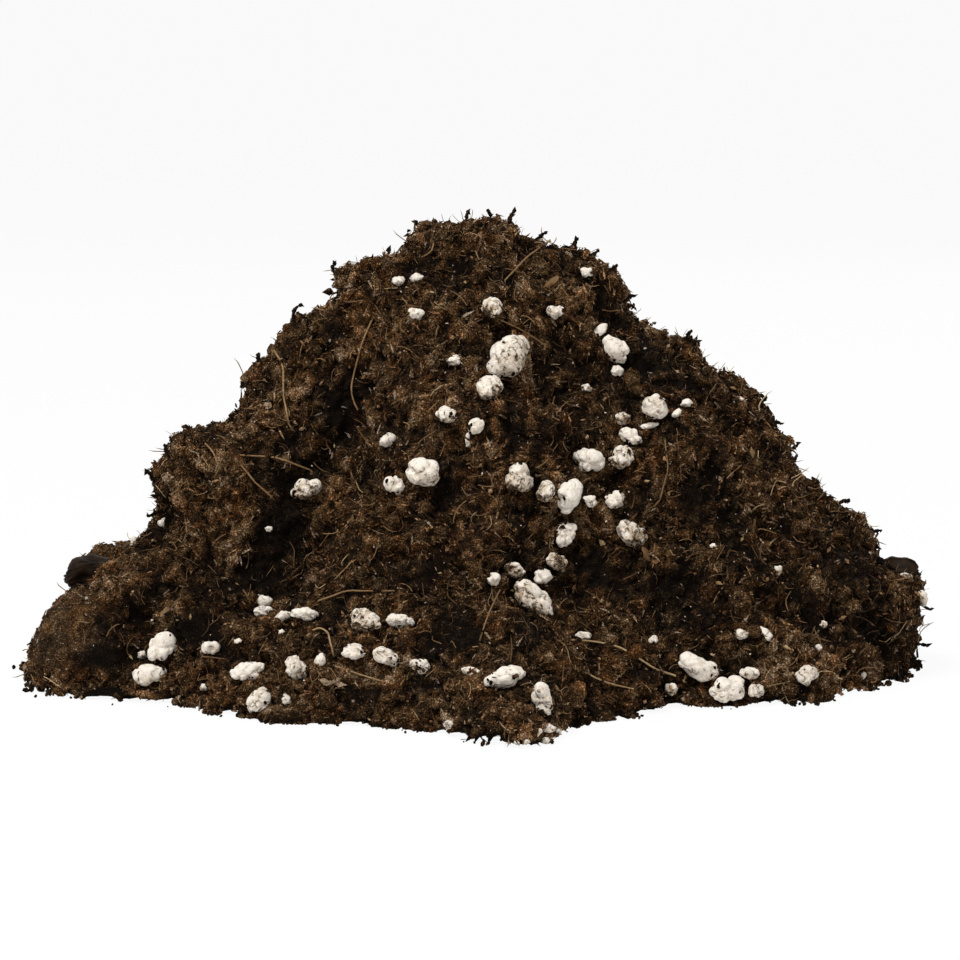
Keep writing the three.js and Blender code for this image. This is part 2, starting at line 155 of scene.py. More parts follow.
# Long fibres in the front view, in millimetres: points as across and up, with the shade of the strand.
LONG_FIBRES = (
    (0.85, ((20.7, 5.3), (25.5, 5.1), (31.7, 3.7), (35.6, 1.3), (39.4, -1.1), (43.8, -2.6))),
    (0.7, ((23.8, -1.8), (28.2, -4.0), (34.5, -5.5))),
    (0.75, ((-37.4, 6.2), (-35.0, 7.9), (-33.2, 7.3), (-32.3, 5.1), (-31.5, 1.8))),
    (0.7, ((-31.2, -0.4), (-26.0, -2.2), (-21.1, -3.7))),
    (0.6, ((-35.0, 13.9), (-28.6, 16.1), (-18.3, 16.1))),
    (0.7, ((-44.7, 69.1), (-42.7, 65.3), (-42.5, 59.0), (-41.4, 52.8))),
    (0.6, ((-22.9, 76.1), (-25.3, 70.8), (-27.5, 62.0), (-27.7, 59.0), (-26.2, 55.9))),
    (0.55, ((5.1, 75.7), (10.0, 73.5), (15.0, 70.2))),
    (0.6, ((16.1, 93.3), (11.0, 89.5), (6.2, 84.5))),
    (0.6, ((-52.1, 46.0), (-44.0, 45.5), (-36.7, 42.7))),
    (0.5, ((5.1, 16.3), (2.5, 11.0), (0.7, 5.3))),
    (0.6, ((-59.8, 48.6), (-58.0, 46.5), (-57.2, 44.4))),
    (0.6, ((-51.9, 43.8), (-50.0, 41.5), (-48.8, 40.0))),
    (0.45, ((41.4, 49.3), (42.0, 43.0), (40.3, 36.1))),
)

# Sprigs of moss and root that stand out of the heap in the front view, in millimetres: where each is rooted,
# across and up, how far it stands out, and how far it leans from upright, to the right.
SPRIGS = (
    (-40.2, 74.5, 5.2, -8),
    (-37.0, 75.0, 3.6, 12),
    (-50.0, 61.5, 2.8, -45),
    (-47.5, 66.0, 2.2, -30),
    (-64.5, 47.5, 3.0, -10),
    (-67.0, 45.5, 3.2, -40),
    (-70.5, 40.0, 3.4, -55),
    (-70.5, 36.5, 4.0, -65),
    (-69.5, 33.5, 3.0, -85),
    (-67.5, 29.0, 2.6, -70),
    (-31.0, 86.0, 2.6, -50),
    (-14.5, 95.0, 2.2, -20),
    (-2.5, 97.0, 2.8, -15),
    (3.0, 98.0, 2.6, 10),
    (7.0, 97.0, 2.8, 30),
    (12.5, 93.0, 3.2, 25),
    (17.5, 90.5, 2.6, 10),
    (21.5, 90.0, 3.6, 20),
    (24.5, 89.0, 3.0, 35),
    (29.0, 86.0, 2.4, 50),
    (32.5, 80.0, 2.4, 60),
    (38.5, 75.0, 2.4, 30),
    (46.0, 71.5, 2.0, 20),
    (53.0, 66.5, 2.6, 40),
    (61.5, 59.5, 2.2, 50),
    (64.5, 53.0, 2.6, 65),
    (69.0, 47.0, 3.6, 25),
    (71.5, 44.0, 3.0, 50),
    (80.0, 36.0, 2.4, 45),
    (86.5, 29.5, 2.2, 60),
    (98.0, 12.0, 2.8, 100),
    (96.5, 4.0, 3.0, 75),
    (97.0, 0.5, 2.6, 110),
)

# Painted shade of the hollows of the front slope, and paler patches, in millimetres: across, up, half length,
# half width, roll and how much darker they are. Those below zero are paler: partly drier crumbs, partly
# painted light.
PATCHES = (
    (-29.5, 58.0, 10.0, 4.5, 61, 0.36),
    (-41.5, 50.0, 6.0, 3.6, 20, 0.20),
    (-44.5, 27.5, 11.5, 5.0, 55, 0.36),
    (-48.5, 19.0, 9.0, 3.6, 0, 0.22),
    (-77.0, 12.0, 8.0, 3.4, 40, 0.34),
    (-68.5, 11.0, 5.0, 2.8, 60, -0.32),
    (-62.0, 7.5, 6.5, 3.8, 10, 0.32),
    (-55.5, 3.0, 7.0, 5.5, 0, 0.22),
    (-82.5, 2.0, 7.0, 3.2, 18, 0.36),
    (-74.0, -3.0, 8.0, 4.0, 10, -0.28),
    (-95.5, 3.0, 5.0, 4.0, 0, 0.12),
    (-10.0, 20.0, 7.5, 5.5, 30, 0.40),
    (-6.0, 8.0, 10.0, 5.0, 0, 0.34),
    (-6.0, 42.0, 5.0, 3.0, 80, 0.22),
    (10.5, 8.5, 5.5, 4.5, -30, 0.34),
    (11.5, 37.5, 7.5, 5.0, 70, 0.32),
    (19.0, 51.0, 11.0, 6.0, 10, 0.22),
    (33.5, 19.5, 15.0, 7.0, -30, 0.22),
    (47.5, 20.0, 7.0, 6.0, -30, 0.28),
    (37.0, 39.0, 4.0, 3.0, 70, 0.20),
    (48.5, 38.0, 6.5, 4.0, 85, 0.28),
    (52.0, 12.5, 7.0, 4.0, 40, 0.20),
    (37.5, -1.0, 6.0, 3.8, -15, 0.38),
    (59.5, 9.0, 6.0, 4.0, -20, 0.14),
    (60.0, 22.0, 8.0, 5.5, -32, 0.28),
    (71.0, 14.0, 15.0, 3.4, -22, 0.20),
    (78.5, 5.0, 7.0, 3.5, -20, 0.28),
    (71.0, 28.0, 8.0, 5.0, -38, 0.20),
    (50.5, 29.5, 4.0, 3.5, 0, 0.18),
    (82.5, 20.0, 9.0, 6.0, -35, 0.30),
    (87.0, 7.0, 10.0, 4.0, -22, 0.20),
    (34.0, 73.0, 7.5, 4.0, 100, 0.26),
    (44.5, 61.5, 8.0, 4.5, -35, 0.26),
    (55.5, 62.0, 4.0, 3.5, 0, 0.18),
    (-2.0, 86.5, 9.5, 3.6, 0, 0.26),
    (-2.5, 69.5, 5.0, 4.0, 0, 0.16),
    (-48.0, -5.5, 6.0, 3.0, 0, 0.24),
    (-29.0, 25.5, 5.0, 4.5, 0, 0.20),
    (-66.5, 22.5, 4.0, 3.0, 0, 0.20),
    (11.5, -12.0, 4.0, 3.0, 0, 0.16),
    (-25.0, 10.0, 19.0, 4.5, -5, -0.12),
    (-24.0, -1.0, 14.0, 4.2, 0, -0.34),
    (-34.0, -9.0, 12.0, 4.0, 0, -0.18),
    (15.0, -16.0, 8.0, 3.0, 0, -0.12),
    (3.0, -5.0, 6.0, 3.0, 0, -0.18),
    (17.0, 64.0, 4.5, 4.0, 0, -0.16),
    (-80.0, 20.0, 11.0, 4.5, 65, -0.04),
    (-43.0, 59.5, 7.0, 5.0, 60, -0.20),
    (-40.0, 6.5, 5.0, 4.0, 0, -0.18),
    (-23.5, -1.0, 6.0, 4.0, 0, -0.36),
    (-57.0, 43.0, 9.0, 6.0, -15, -0.18),
    (-30.0, 80.5, 6.0, 5.0, 60, -0.20),
    (82.0, -4.0, 9.0, 3.0, 10, -0.22),
    (2.0, 95.0, 6.5, 3.0, 0, -0.22),
    (11.5, 73.5, 7.0, 5.0, -20, -0.18),
    (-14.5, 75.5, 4.0, 3.5, 0, -0.18),
    (-23.5, 50.0, 7.0, 6.0, 50, -0.20),
    (-10.0, 48.5, 5.5, 4.0, 20, -0.20),
    (-33.0, 37.0, 5.0, 4.0, 45, -0.10),
    (-13.5, 38.0, 5.5, 4.5, 0, -0.20),
    (-2.5, 33.5, 5.0, 4.0, 70, -0.20),
    (26.5, 31.0, 7.0, 5.0, 60, -0.30),
    (28.0, 41.5, 4.0, 3.5, 0, -0.18),
    (24.0, 9.0, 6.0, 4.0, -30, -0.18),
    (64.0, -1.5, 7.0, 4.0, 0, -0.24),
)

# Large flakes of golden wood: across, up, length and roll.
WOOD_FLAKES = (
    (37.5, 24.0, 4.6, -35),
    (39.5, 22.5, 2.4, -20),
    (16.5, 84.0, 3.8, 32),
    (-68.5, 11.5, 3.5, 60),
)

# The granules that stand out fuller than the rest, by number: how many times the node's size.
FULL_GRANULES = {
    1: 1.17,
    2: 1.1,
}

# How many times the node's size the other granules are, which fills the gap round them.
GRANULE_SWELL = 1.06

# How much soil some granules carry in their pits, by number, from clean to full.
DIRTY_GRANULES = {
    1: 0.5,
    2: 0.65,
    3: 0.9,
    7: 0.35,
    9: 0.7,
    13: 0.15,
    14: 0.7,
    15: 0.85,
    16: 0.85,
    17: 0.1,
    18: 0.35,
    20: 0.75,
    21: 0.95,
    22: 0.9,
    23: 0.12,
    24: 0.75,
    27: 0.85,
    29: 0.1,
    39: 0.2,
    40: 0.2,
}


class SoilSettings(PropertyGroup):
    """Sizes and colours of the soil mass and its crumbs."""

    grid: FloatProperty(
        name="Grid", description="Size of the squares of the soil's mesh", default=0.88 * MM, unit="LENGTH"
    )
    clod_width: FloatProperty(
        name="Clod width", description="Width of the clods on the slopes", default=6.5 * MM, unit="LENGTH"
    )
    clod_rise: FloatProperty(
        name="Clod rise", description="How far the clods stand out", default=1.3 * MM, unit="LENGTH"
    )
    clump_width: FloatProperty(
        name="Clump width", description="Width of the clumps in the mass", default=4.0 * MM, unit="LENGTH"
    )
    clump_rise: FloatProperty(
        name="Clump rise", description="Depth of the crevices between clumps", default=1.5 * MM, unit="LENGTH"
    )
    crumb_width: FloatProperty(
        name="Crumb width", description="Width of the crumbs in the clumps", default=1.9 * MM, unit="LENGTH"
    )
    crumb_rise: FloatProperty(
        name="Crumb rise", description="How far those crumbs stand out", default=0.7 * MM, unit="LENGTH"
    )
    clods: IntProperty(name="Clods", description="Half-sunk clods of 3 to 5 mm", default=320)
    clumps: IntProperty(name="Clumps", description="Loose clumps of 2 to 4 mm", default=900)
    chunks: IntProperty(name="Chunks", description="Loose crumbs of 1 to 2 mm", default=6500)
    grains: IntProperty(name="Grains", description="Fine crumbs under 1 mm", default=18000)
    fines: IntProperty(name="Fines", description="Finest crumbs, near half a millimetre", default=16000)
    foot_crumbs: IntProperty(name="Foot crumbs", description="Loose crumbs along the foot", default=2200)
    splinters: IntProperty(name="Splinters", description="Short splinters of plant stuff", default=51000)
    tufts: IntProperty(name="Tufts", description="Tufts of peat moss", default=900)
    twigs: IntProperty(name="Twigs", description="Little knobbly twigs", default=1250)
    # The two casts follow the soil's shade, painted shade included: hollows in painted shade get the cool
    # cast, crests the warm one.
    cool_cast: FloatVectorProperty(
        name="Cool cast", description="What tints the hollows", subtype="COLOR", default=(0.95, 1, 1.16)
    )
    warm_cast: FloatVectorProperty(
        name="Warm cast", description="What tints the crests", subtype="COLOR", default=(1.08, 1, 0.91)
    )
    # The shade that picks among these colours is partly painted: the dark ones gather in crevices, gullies
    # and hollows as painted shade as well as wet peat, and the pale ones gather on crests, partly as painted
    # light.
    darkest: FloatVectorProperty(
        name="Darkest", description="Colour of the wet peat", subtype="COLOR", default=(0.0035, 0.002, 0.001)
    )
    dark: FloatVectorProperty(
        name="Dark", description="Colour of the dark peat", subtype="COLOR", default=(0.018, 0.0105, 0.0046)
    )
    middle: FloatVectorProperty(
        name="Middle",
        description="Colour of most of the peat",
        subtype="COLOR",
        default=(0.066, 0.039, 0.018),
    )
    warm: FloatVectorProperty(
        name="Warm", description="Colour of the dry brown peat", subtype="COLOR", default=(0.17, 0.11, 0.06)
    )
    pale: FloatVectorProperty(
        name="Pale", description="Colour of the palest crumbs", subtype="COLOR", default=(0.41, 0.335, 0.255)
    )
    russet: FloatVectorProperty(
        name="Russet", description="Tinge of the reddish patches", subtype="COLOR", default=(1.08, 0.8, 0.56)
    )


class FibreSettings(PropertyGroup):
    """Sizes and colours of the coir and root fibres."""

    short_count: IntProperty(name="Short fibres", description="Number of short fibres", default=6000)
    long_count: IntProperty(name="Long fibres", description="Number of long loose fibres", default=170)
    flake_count: IntProperty(name="Flakes", description="Number of golden wood flakes", default=420)
    short_radius: FloatProperty(
        name="Short radius", description="Half thickness of a short fibre", default=0.07 * MM, unit="LENGTH"
    )
    long_radius: FloatProperty(
        name="Long radius", description="Half thickness of a long fibre", default=0.11 * MM, unit="LENGTH"
    )
    dark: FloatVectorProperty(
        name="Dark", description="Colour of the dark fibres", subtype="COLOR", default=(0.03, 0.013, 0.005)
    )
    golden: FloatVectorProperty(
        name="Golden", description="Colour of the coir", subtype="COLOR", default=(0.19, 0.104, 0.04)
    )
    pale: FloatVectorProperty(
        name="Pale", description="Colour of the bleached fibres", subtype="COLOR", default=(0.4, 0.285, 0.145)
    )


class PerliteSettings(PropertyGroup):
    """Sizes and colours of the perlite."""

    speck_count: IntProperty(name="Specks", description="Number of tiny perlite grains", default=1500)
    loose_count: IntProperty(name="Loose", description="Small granules on the unseen sides", default=70)
    white: FloatVectorProperty(
        name="White", description="Colour of clean perlite", subtype="COLOR", default=(0.81, 0.735, 0.64)
    )
    cream: FloatVectorProperty(
        name="Cream", description="Colour of stained perlite", subtype="COLOR", default=(0.52, 0.42, 0.31)
    )
    tan: FloatVectorProperty(
        name="Tan", description="Colour of the worst stains", subtype="COLOR", default=(0.36, 0.22, 0.115)
    )
    crack: FloatVectorProperty(
        name="Crack", description="Colour of the fine cracks", subtype="COLOR", default=(0.24, 0.165, 0.095)
    )
    dirt: FloatVectorProperty(
        name="Dirt",
        description="Colour of the soil in the pits",
        subtype="COLOR",
        default=(0.05, 0.029, 0.014),
    )


class BarkSettings(PropertyGroup):
    """Sizes and colours of the bark chips."""

    furrow: FloatProperty(
        name="Furrow", description="Depth of the furrows along a chip", default=0.5 * MM, unit="LENGTH"
    )
    hook: FloatProperty(
        name="Hook", description="How far a chip's free end bends down", default=1.2 * MM, unit="LENGTH"
    )
    dark: FloatVectorProperty(
        name="Dark", description="Colour of the furrows", subtype="COLOR", default=(0.003, 0.002, 0.0015)
    )
    brown: FloatVectorProperty(
        name="Brown", description="Colour of the ridges", subtype="COLOR", default=(0.03, 0.017, 0.0095)
    )


class StageSettings(PropertyGroup):
    """The view, the lamps and the floor."""

    axis: FloatVectorProperty(
        name="Axis",
        description="Foot of the heap's axis",
        subtype="TRANSLATION",
        default=(0.688 * MM, 7.552 * MM, 0),
    )
    tilt: FloatProperty(
        name="Tilt", description="Tilt of the view from the horizon", default=math.radians(7), subtype="ANGLE"
    )
    distance: FloatProperty(
        name="Distance", description="From the eye to the heap's axis", default=900 * MM, unit="LENGTH"
    )
    level: FloatProperty(
        name="Level",
        description="Height of the eye's line over the axis' foot",
        default=40 * MM,
        unit="LENGTH",
    )
    lens: FloatProperty(name="Lens", description="Focal length in millimetres", default=153.4)
    key_power: FloatProperty(
        name="Key lamp", description="Power of the main lamp", default=16.0, subtype="POWER"
    )
    fill_power: FloatProperty(
        name="Fill lamp", description="Power of the fill lamp", default=3.0, subtype="POWER"
    )
    back_power: FloatProperty(
        name="Back lamp", description="Power of the lamp behind", default=4.0, subtype="POWER"
    )
    sky: FloatProperty(name="Sky", description="Light from all around", default=0.22)


class FrontView:
    """Lines of sight of the front view, by millimetres across from the heap's axis and up from its foot."""

    def __init__(self, stage):
        self.right = Vector((1, 0, 0))
        self.back = Vector((0, -math.cos(stage.tilt), math.sin(stage.tilt)))
        self.up = self.back.cross(self.right)
        self.axis = Vector(stage.axis)
        self.eye = self.axis + self.up * stage.level + self.back * stage.distance

    def sight(self, across, up):
        """The direction from the eye to a point of the view."""
        target = self.axis + self.right * across * MM + self.up * up * MM
        return (target - self.eye).normalized()

    def spot(self, soil, across, up):
        """The soil's point and outward direction on a line of sight, or the nearest to it."""
        way = self.sight(across, up)
        place, normal, _, _ = soil.tree.ray_cast(self.eye, way)
        if place is None:
            target = self.eye + way * (self.axis - self.eye).dot(way)
            place, normal, _, _ = soil.tree.find_nearest(target)
        return place, normal

    def seen_at(self, places):
        """Where points appear in the view: millimetres across from the axis and up from its foot."""
        away = places - np.array(self.eye)
        depth = -away @ np.array(self.back)
        scale = (self.eye - self.axis).dot(self.back) / depth / MM
        level = (self.eye - self.axis).dot(self.up) / MM
        return away @ np.array(self.right) * scale, level + away @ np.array(self.up) * scale


class SoilSurface:
    """The soil's upper surface, for strewing things on it."""

    def __init__(self):
        mesh = bpy.data.objects["soil_mass"].data
        mesh.calc_loop_triangles()
        corners = np.empty(len(mesh.loop_triangles) * 3, np.int32)
        mesh.loop_triangles.foreach_get("vertices", corners)
        corners = corners.reshape(-1, 3)
        places = np.empty(len(mesh.vertices) * 3, np.float32)
        mesh.vertices.foreach_get("co", places)
        places = places.reshape(-1, 3).astype(float)
        normals = np.empty(len(mesh.vertices) * 3, np.float32)
        mesh.vertices.foreach_get("normal", normals)
        self.normals = normals.reshape(-1, 3).astype(float)
        self.shades = np.empty(len(mesh.vertices), np.float32)
        mesh.attributes["shade"].data.foreach_get("value", self.shades)
        slope = places[corners][:, :, 2].max(1) > 0.15 * MM
        self.corners = corners[slope]
        self.places = places
        a, b, c = (places[self.corners[:, k]] for k in range(3))
        self.areas = np.linalg.norm(np.cross(b - a, c - a), axis=1) / 2
        self.middles = (a + b + c) / 3
        self.tree = BVHTree.FromPolygons(places.tolist(), corners.tolist())
        slopes = merged_copy(SOIL_NODE)
        self.slopes = BVHTree.FromBMesh(slopes)
        slopes.free()

    def strew(self, rng, count, weight=None):
        """Random points on the soil with their outward directions and the soil's shades there."""
        share = self.areas if weight is None else self.areas * weight(self.middles)
        picked = rng.choice(len(share), count, p=share / share.sum())
        mix = rng.dirichlet((1, 1, 1), count)
        corners = self.corners[picked]
        places = (self.places[corners] * mix[:, :, None]).sum(1)
        normals = (self.normals[corners] * mix[:, :, None]).sum(1)
        normals /= np.linalg.norm(normals, axis=1, keepdims=True) + 1e-9
        shades = (self.shades[corners] * mix).sum(1)
        return places, normals, shades

    def crests(self):
        """How far each face of the slope is from a crevice, from 0 to 1, by its shade."""
        return np.clip((self.shades[self.corners].mean(1) - 0.1) / 0.2, 0.2, 1)


def granule_tree():
    """The granules of the frame as one search tree."""
    places = []
    faces = []
    for name in GRANULE_NODES:
        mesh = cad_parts[name].data
        start = len(places)
        places.extend(v.co.copy() for v in mesh.vertices)
        faces.extend([start + i for i in p.vertices] for p in mesh.polygons)
    return BVHTree.FromPolygons(places, faces)


def compacted(places):
    """Share from 0 to 1 by which the soil is pressed together: the clod at the left foot."""
    left = np.clip((-places[:, 0] - CLOD_START) / CLOD_START_FADE, 0, 1)
    low = np.clip((CLOD_TOP - places[:, 2]) / CLOD_TOP_FADE, 0, 1)
    high = np.clip((places[:, 2] - CLOD_FOOT) / CLOD_FOOT_FADE, 0, 1)
    return left * low * high


def merged_copy(node):
    """A bmesh copy of a frame node with its loose triangles joined."""
    bm = bmesh.new()
    bm.from_mesh(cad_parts[node].data)
    bmesh.ops.remove_doubles(bm, verts=bm.verts, dist=0.001 * MM)
    return bm


def smooth(bm, times):
    """Evens out the points of a mesh, a few times over."""
    axes = {"use_axis_x": True, "use_axis_y": True, "use_axis_z": True}
    for _ in range(times):
        bmesh.ops.smooth_vert(bm, verts=bm.verts, factor=0.5, **axes)


def mesh_from(bm, name):
    """A mesh made of a bmesh, which is freed."""
    mesh = bpy.data.meshes.new(name)
    bm.to_mesh(mesh)
    bm.free()
    return mesh


def write_shades(mesh, name, values):
    """Keeps a value for each point of a mesh, for its material."""
    shades = mesh.attributes.new(name, "FLOAT", "POINT")
    shades.data.foreach_set("value", np.ascontiguousarray(values, dtype=np.float32))


def place_piece(name, mesh, material, nodes=()):
    """Puts a finished mesh into the scene, none of it under the floor, as a piece that rides on the frame."""
    places = np.empty(len(mesh.vertices) * 3, np.float32)
    mesh.vertices.foreach_get("co", places)
    places[2::3] = np.maximum(places[2::3], 0)
    mesh.vertices.foreach_set("co", places)
    piece = bpy.data.objects.new(name, mesh)
    bpy.context.scene.collection.objects.link(piece)
    mesh.materials.clear()
    mesh.materials.append(material)
    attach(piece, "root")
    if nodes:
        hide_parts(*nodes)
    return piece


def strewn_mesh(name, seeds, which, matrices, shades, warmths=0.35):
    """Copies of small seed shapes joined in one mesh, each copy with a shade and a warmth of its own."""
    kept = []
    for seed in seeds:
        places = np.empty(len(seed.vertices) * 3, np.float32)
        seed.vertices.foreach_get("co", places)
        kept.append(places)
    bm = bmesh.new()
    for kind, matrix in zip(which, matrices):
        seed = seeds[kind]
        seed.transform(matrix)
        bm.from_mesh(seed)
        seed.vertices.foreach_set("co", kept[kind])
    mesh = mesh_from(bm, name)
    counts = np.array([len(seed.vertices) for seed in seeds])[np.asarray(which)]
    tints = np.random.default_rng(len(which)).beta(1.3, 1.3, len(which))
    write_shades(mesh, "shade", np.repeat(shades, counts))
    write_shades(mesh, "tint", np.repeat(tints, counts))
    write_shades(mesh, "warmth", np.repeat(np.broadcast_to(warmths, len(which)), counts))
    return mesh


def drop_seeds(seeds):
    """Removes the seed shapes once they are copied."""
    for seed in seeds:
        bpy.data.meshes.remove(seed)


def lying(normal, spin, lean, pitch):
    """A turn that lays a shape's Z along the normal, then spins it, leans it and pitches it up."""
    stand = Vector(normal).to_track_quat("Z", "Y").to_matrix()
    return stand @ Euler((lean, pitch, spin), "XYZ").to_matrix()


def lying_anyhow(normal, rng, swing):
    """A turn that lays a shape on a slope, spun at random and leaned and pitched by about a swing."""
    return lying(normal, rng.uniform(0, math.tau), rng.normal() * swing, rng.normal() * swing)


def placed(spot, turn, size):
    """A matrix that sizes a shape, turns it and moves it to a spot."""
    return Matrix.Translation(spot) @ turn.to_4x4() @ Matrix.Scale(size, 4)


def gully(place, axis):
    """Ridges and gullies that run down the slope from the axis, as a value round zero."""
    around = Vector((place.x - axis.x, place.y - axis.y, 0))
    around.normalize()
    bent = 0.4 * noise.noise_vector(place / (14 * MM))
    wide = noise.noise(7 * around + Vector((0, 0, place.z / (20 * MM))) + bent)
    narrow = noise.noise(15 * around + Vector((5, 9, place.z / (12 * MM))) + bent)
    return wide + 0.7 * narrow


def matting(place):
    """The direction in which the fibres round a place lie, as a turn about the soil's outward direction."""
    return 5 * noise.noise(place / (13 * MM) + Vector((7, 3, 1)))


def strew_soil(name, surface, granules, rng, seeds, count, size, spread, lift, tilt, paler, variety, weight):
    """Strews copies of seed shapes over the soil, each a little lighter or darker than what it lies on."""
    crests = surface.crests()
    places, normals, shades = surface.strew(rng, count, lambda middles: crests * weight(middles))
    sizes = size * np.exp(np.clip(rng.normal(0, spread, count), -2 * spread, 2.2 * spread)) * MM
    bright_share = 0.04 if size > 0.9 and tilt > 0.5 else 0.17
    bright = rng.exponential(0.32, count) * (rng.random(count) < bright_share)
    pressed = compacted(places)
    # Each copy takes the shade of the soil under it, painted shade of crevices and hollows included.
    grounds = shades - 0.15 * pressed
    shades = np.minimum(shades, 0.12 + 0.7 * shades)
    shades = shades + paler + bright + rng.normal(0, variety, count) * (1 + 0.5 * pressed)
    shades = np.clip(shades, 0.02, 1.0)
    sizes *= 1 - 0.3 * pressed
    which = []
    matrices = []
    kept = []
    for i in range(count):
        normal = Vector(normals[i])
        spot = Vector(places[i]) + normal * sizes[i] * lift * rng.uniform(0.2, 1.0)
        spot.z = max(spot.z, 0.4 * sizes[i])
        gap = granules.find_nearest(spot, 4 * MM)[3]
        if gap is not None and gap < 0.15 * sizes[i]:
            continue
        slope = normal + 1.5 * surface.slopes.find_nearest(spot)[1]
        spin = matting(spot) + rng.normal() * 0.5
        if pressed[i] > 0.3:
            slope = normal
        swing = tilt * (1 - 0.85 * pressed[i])
        turn = lying(slope, spin, rng.normal() * swing, rng.normal() * swing)
        which.append(int(rng.integers(len(seeds))))
        matrices.append(placed(spot, turn, sizes[i]))
        kept.append(i)
    mesh = strewn_mesh(name, seeds, which, matrices, shades[kept], grounds[kept])
    place_piece(name, mesh, soil_material(bpy.context.scene.mix_soil))


def chunk_seed(rng, rounds, flat=0.7):
    """An uneven crumb, about one across."""
    bm = bmesh.new()
    bmesh.ops.create_icosphere(bm, subdivisions=rounds, radius=0.5)
    for vert in bm.verts:
        vert.co *= rng.uniform(0.72, 1.2)
    bmesh.ops.scale(bm, vec=(1, rng.uniform(0.6, 0.95), flat * rng.uniform(0.7, 1.2)), verts=bm.verts)
    return mesh_from(bm, "chunk_seed")


def grain_seed(rng, wide=0.8, deep=0.7):
    """A small angular grain or, when slender, a splinter, about one long."""
    bm = bmesh.new()
    bmesh.ops.create_uvsphere(bm, u_segments=4, v_segments=2, radius=0.5)
    for vert in bm.verts:
        vert.co *= rng.uniform(0.7, 1.25)
    bmesh.ops.rotate(bm, verts=bm.verts, matrix=Matrix.Rotation(math.radians(90), 3, "Y"))
    bmesh.ops.scale(bm, vec=(1, wide, deep), verts=bm.verts)
    return mesh_from(bm, "grain_seed")


def fine_seed(rng):
    """The smallest kind of crumb, a crooked wedge about one long."""
    bm = bmesh.new()
    bmesh.ops.create_cone(bm, cap_ends=True, segments=3, radius1=0.45, radius2=0, depth=0.9)
    for vert in bm.verts:
        vert.co += Vector(rng.normal(0, 0.12, 3))
    return mesh_from(bm, "fine_seed")


def grow_strand(bm, rng, start, way, length, radius, steps, bend, taper, sides=3):
    """Grows a closed strand from a ring, step by step, turning it a little at each step."""
    turn = way.to_track_quat("Z", "Y").to_matrix().to_4x4()
    ring = bmesh.ops.create_circle(
        bm, cap_ends=True, segments=sides, radius=radius, matrix=Matrix.Translation(start) @ turn
    )
    verts = ring["verts"]
    edges = list(dict.fromkeys(edge for vert in verts for edge in vert.link_edges))
    centre = start.copy()
    curl = Vector(rng.normal(size=3)).normalized()
    for _ in range(steps):
        grown = bmesh.ops.extrude_edge_only(bm, edges=edges)["geom"]
        verts = [item for item in grown if isinstance(item, bmesh.types.BMVert)]
        edges = [item for item in grown if isinstance(item, bmesh.types.BMEdge)]
        swing = Matrix.Rotation(rng.normal() * bend * 0.4 + bend * 0.6, 3, curl)
        way = (swing @ way).normalized()
        bmesh.ops.translate(bm, verts=verts, vec=way * length / steps)
        centre = centre + way * length / steps
        bmesh.ops.rotate(bm, cent=centre, matrix=swing, verts=verts)
        bmesh.ops.scale(bm, vec=(taper, taper, taper), space=Matrix.Translation(-centre), verts=verts)
    bmesh.ops.pointmerge(bm, verts=verts, merge_co=centre + way * radius)
    return centre


def tuft_seed(rng, stubs):
    """A knot of peat moss: a few short thick stubs from one root, about one high."""
    bm = bmesh.new()
    for _ in range(stubs):
        way = Vector((rng.normal() * 0.8, rng.normal() * 0.8, rng.uniform(0.25, 1.0))).normalized()
        start = Vector((rng.normal() * 0.2, rng.normal() * 0.2, -0.2))
        grow_strand(bm, rng, start, way, rng.uniform(0.35, 0.8), rng.uniform(0.13, 0.22), 2, 0.6, 1.0)
    bmesh.ops.recalc_face_normals(bm, faces=bm.faces)
    return mesh_from(bm, "tuft_seed")


def twig_seed(rng):
    """A crooked knobbly twig with side stubs, standing about one high."""
    bm = bmesh.new()
    stem = Vector((rng.normal() * 0.6, rng.normal() * 0.6, 1)).normalized()
    radius = rng.uniform(0.11, 0.17)
    grow_strand(bm, rng, Vector((0, 0, -0.2)), stem, 1.1, radius, 4, rng.uniform(0.4, 0.9), 1.0)
    for height in (0.1, 0.35, 0.6):
        way = Vector((rng.normal(), rng.normal(), 0.4)).normalized()
        grow_strand(bm, rng, stem * height, way, rng.uniform(0.2, 0.45), 0.9 * radius, 2, 0.5, 1.05)
    for vert in bm.verts:
        vert.co += Vector(rng.normal(0, 0.35 * radius, 3))
    bmesh.ops.recalc_face_normals(bm, faces=bm.faces)
    return mesh_from(bm, "twig_seed")


def fibre_seed(rng, radius, steps, bend):
    """A thin bent fibre lying along X, about one long."""
    bm = bmesh.new()
    grow_strand(bm, rng, Vector((-0.5, 0, 0)), Vector((1, 0, 0)), 1.0, radius, steps, bend, 0.96)
    bmesh.ops.recalc_face_normals(bm, faces=bm.faces)
    return mesh_from(bm, "fibre_seed")


def node(tree, kind, **values):
    """A shader node with its settings and socket values."""
    made = tree.nodes.new(kind)
    for key, value in values.items():
        if hasattr(made, key):
            setattr(made, key, value)
        else:
            made.inputs[key.replace("_", " ")].default_value = value
    return made


def ramp(tree, stops):
    """A colour ramp through stops, each a place and a colour."""
    made = tree.nodes.new("ShaderNodeValToRGB")
    while len(made.color_ramp.elements) < len(stops):
        made.color_ramp.elements.new(0.5)
    for element, (place, colour) in zip(made.color_ramp.elements, stops):
        element.position = place
        element.color = (*colour, 1)
    return made


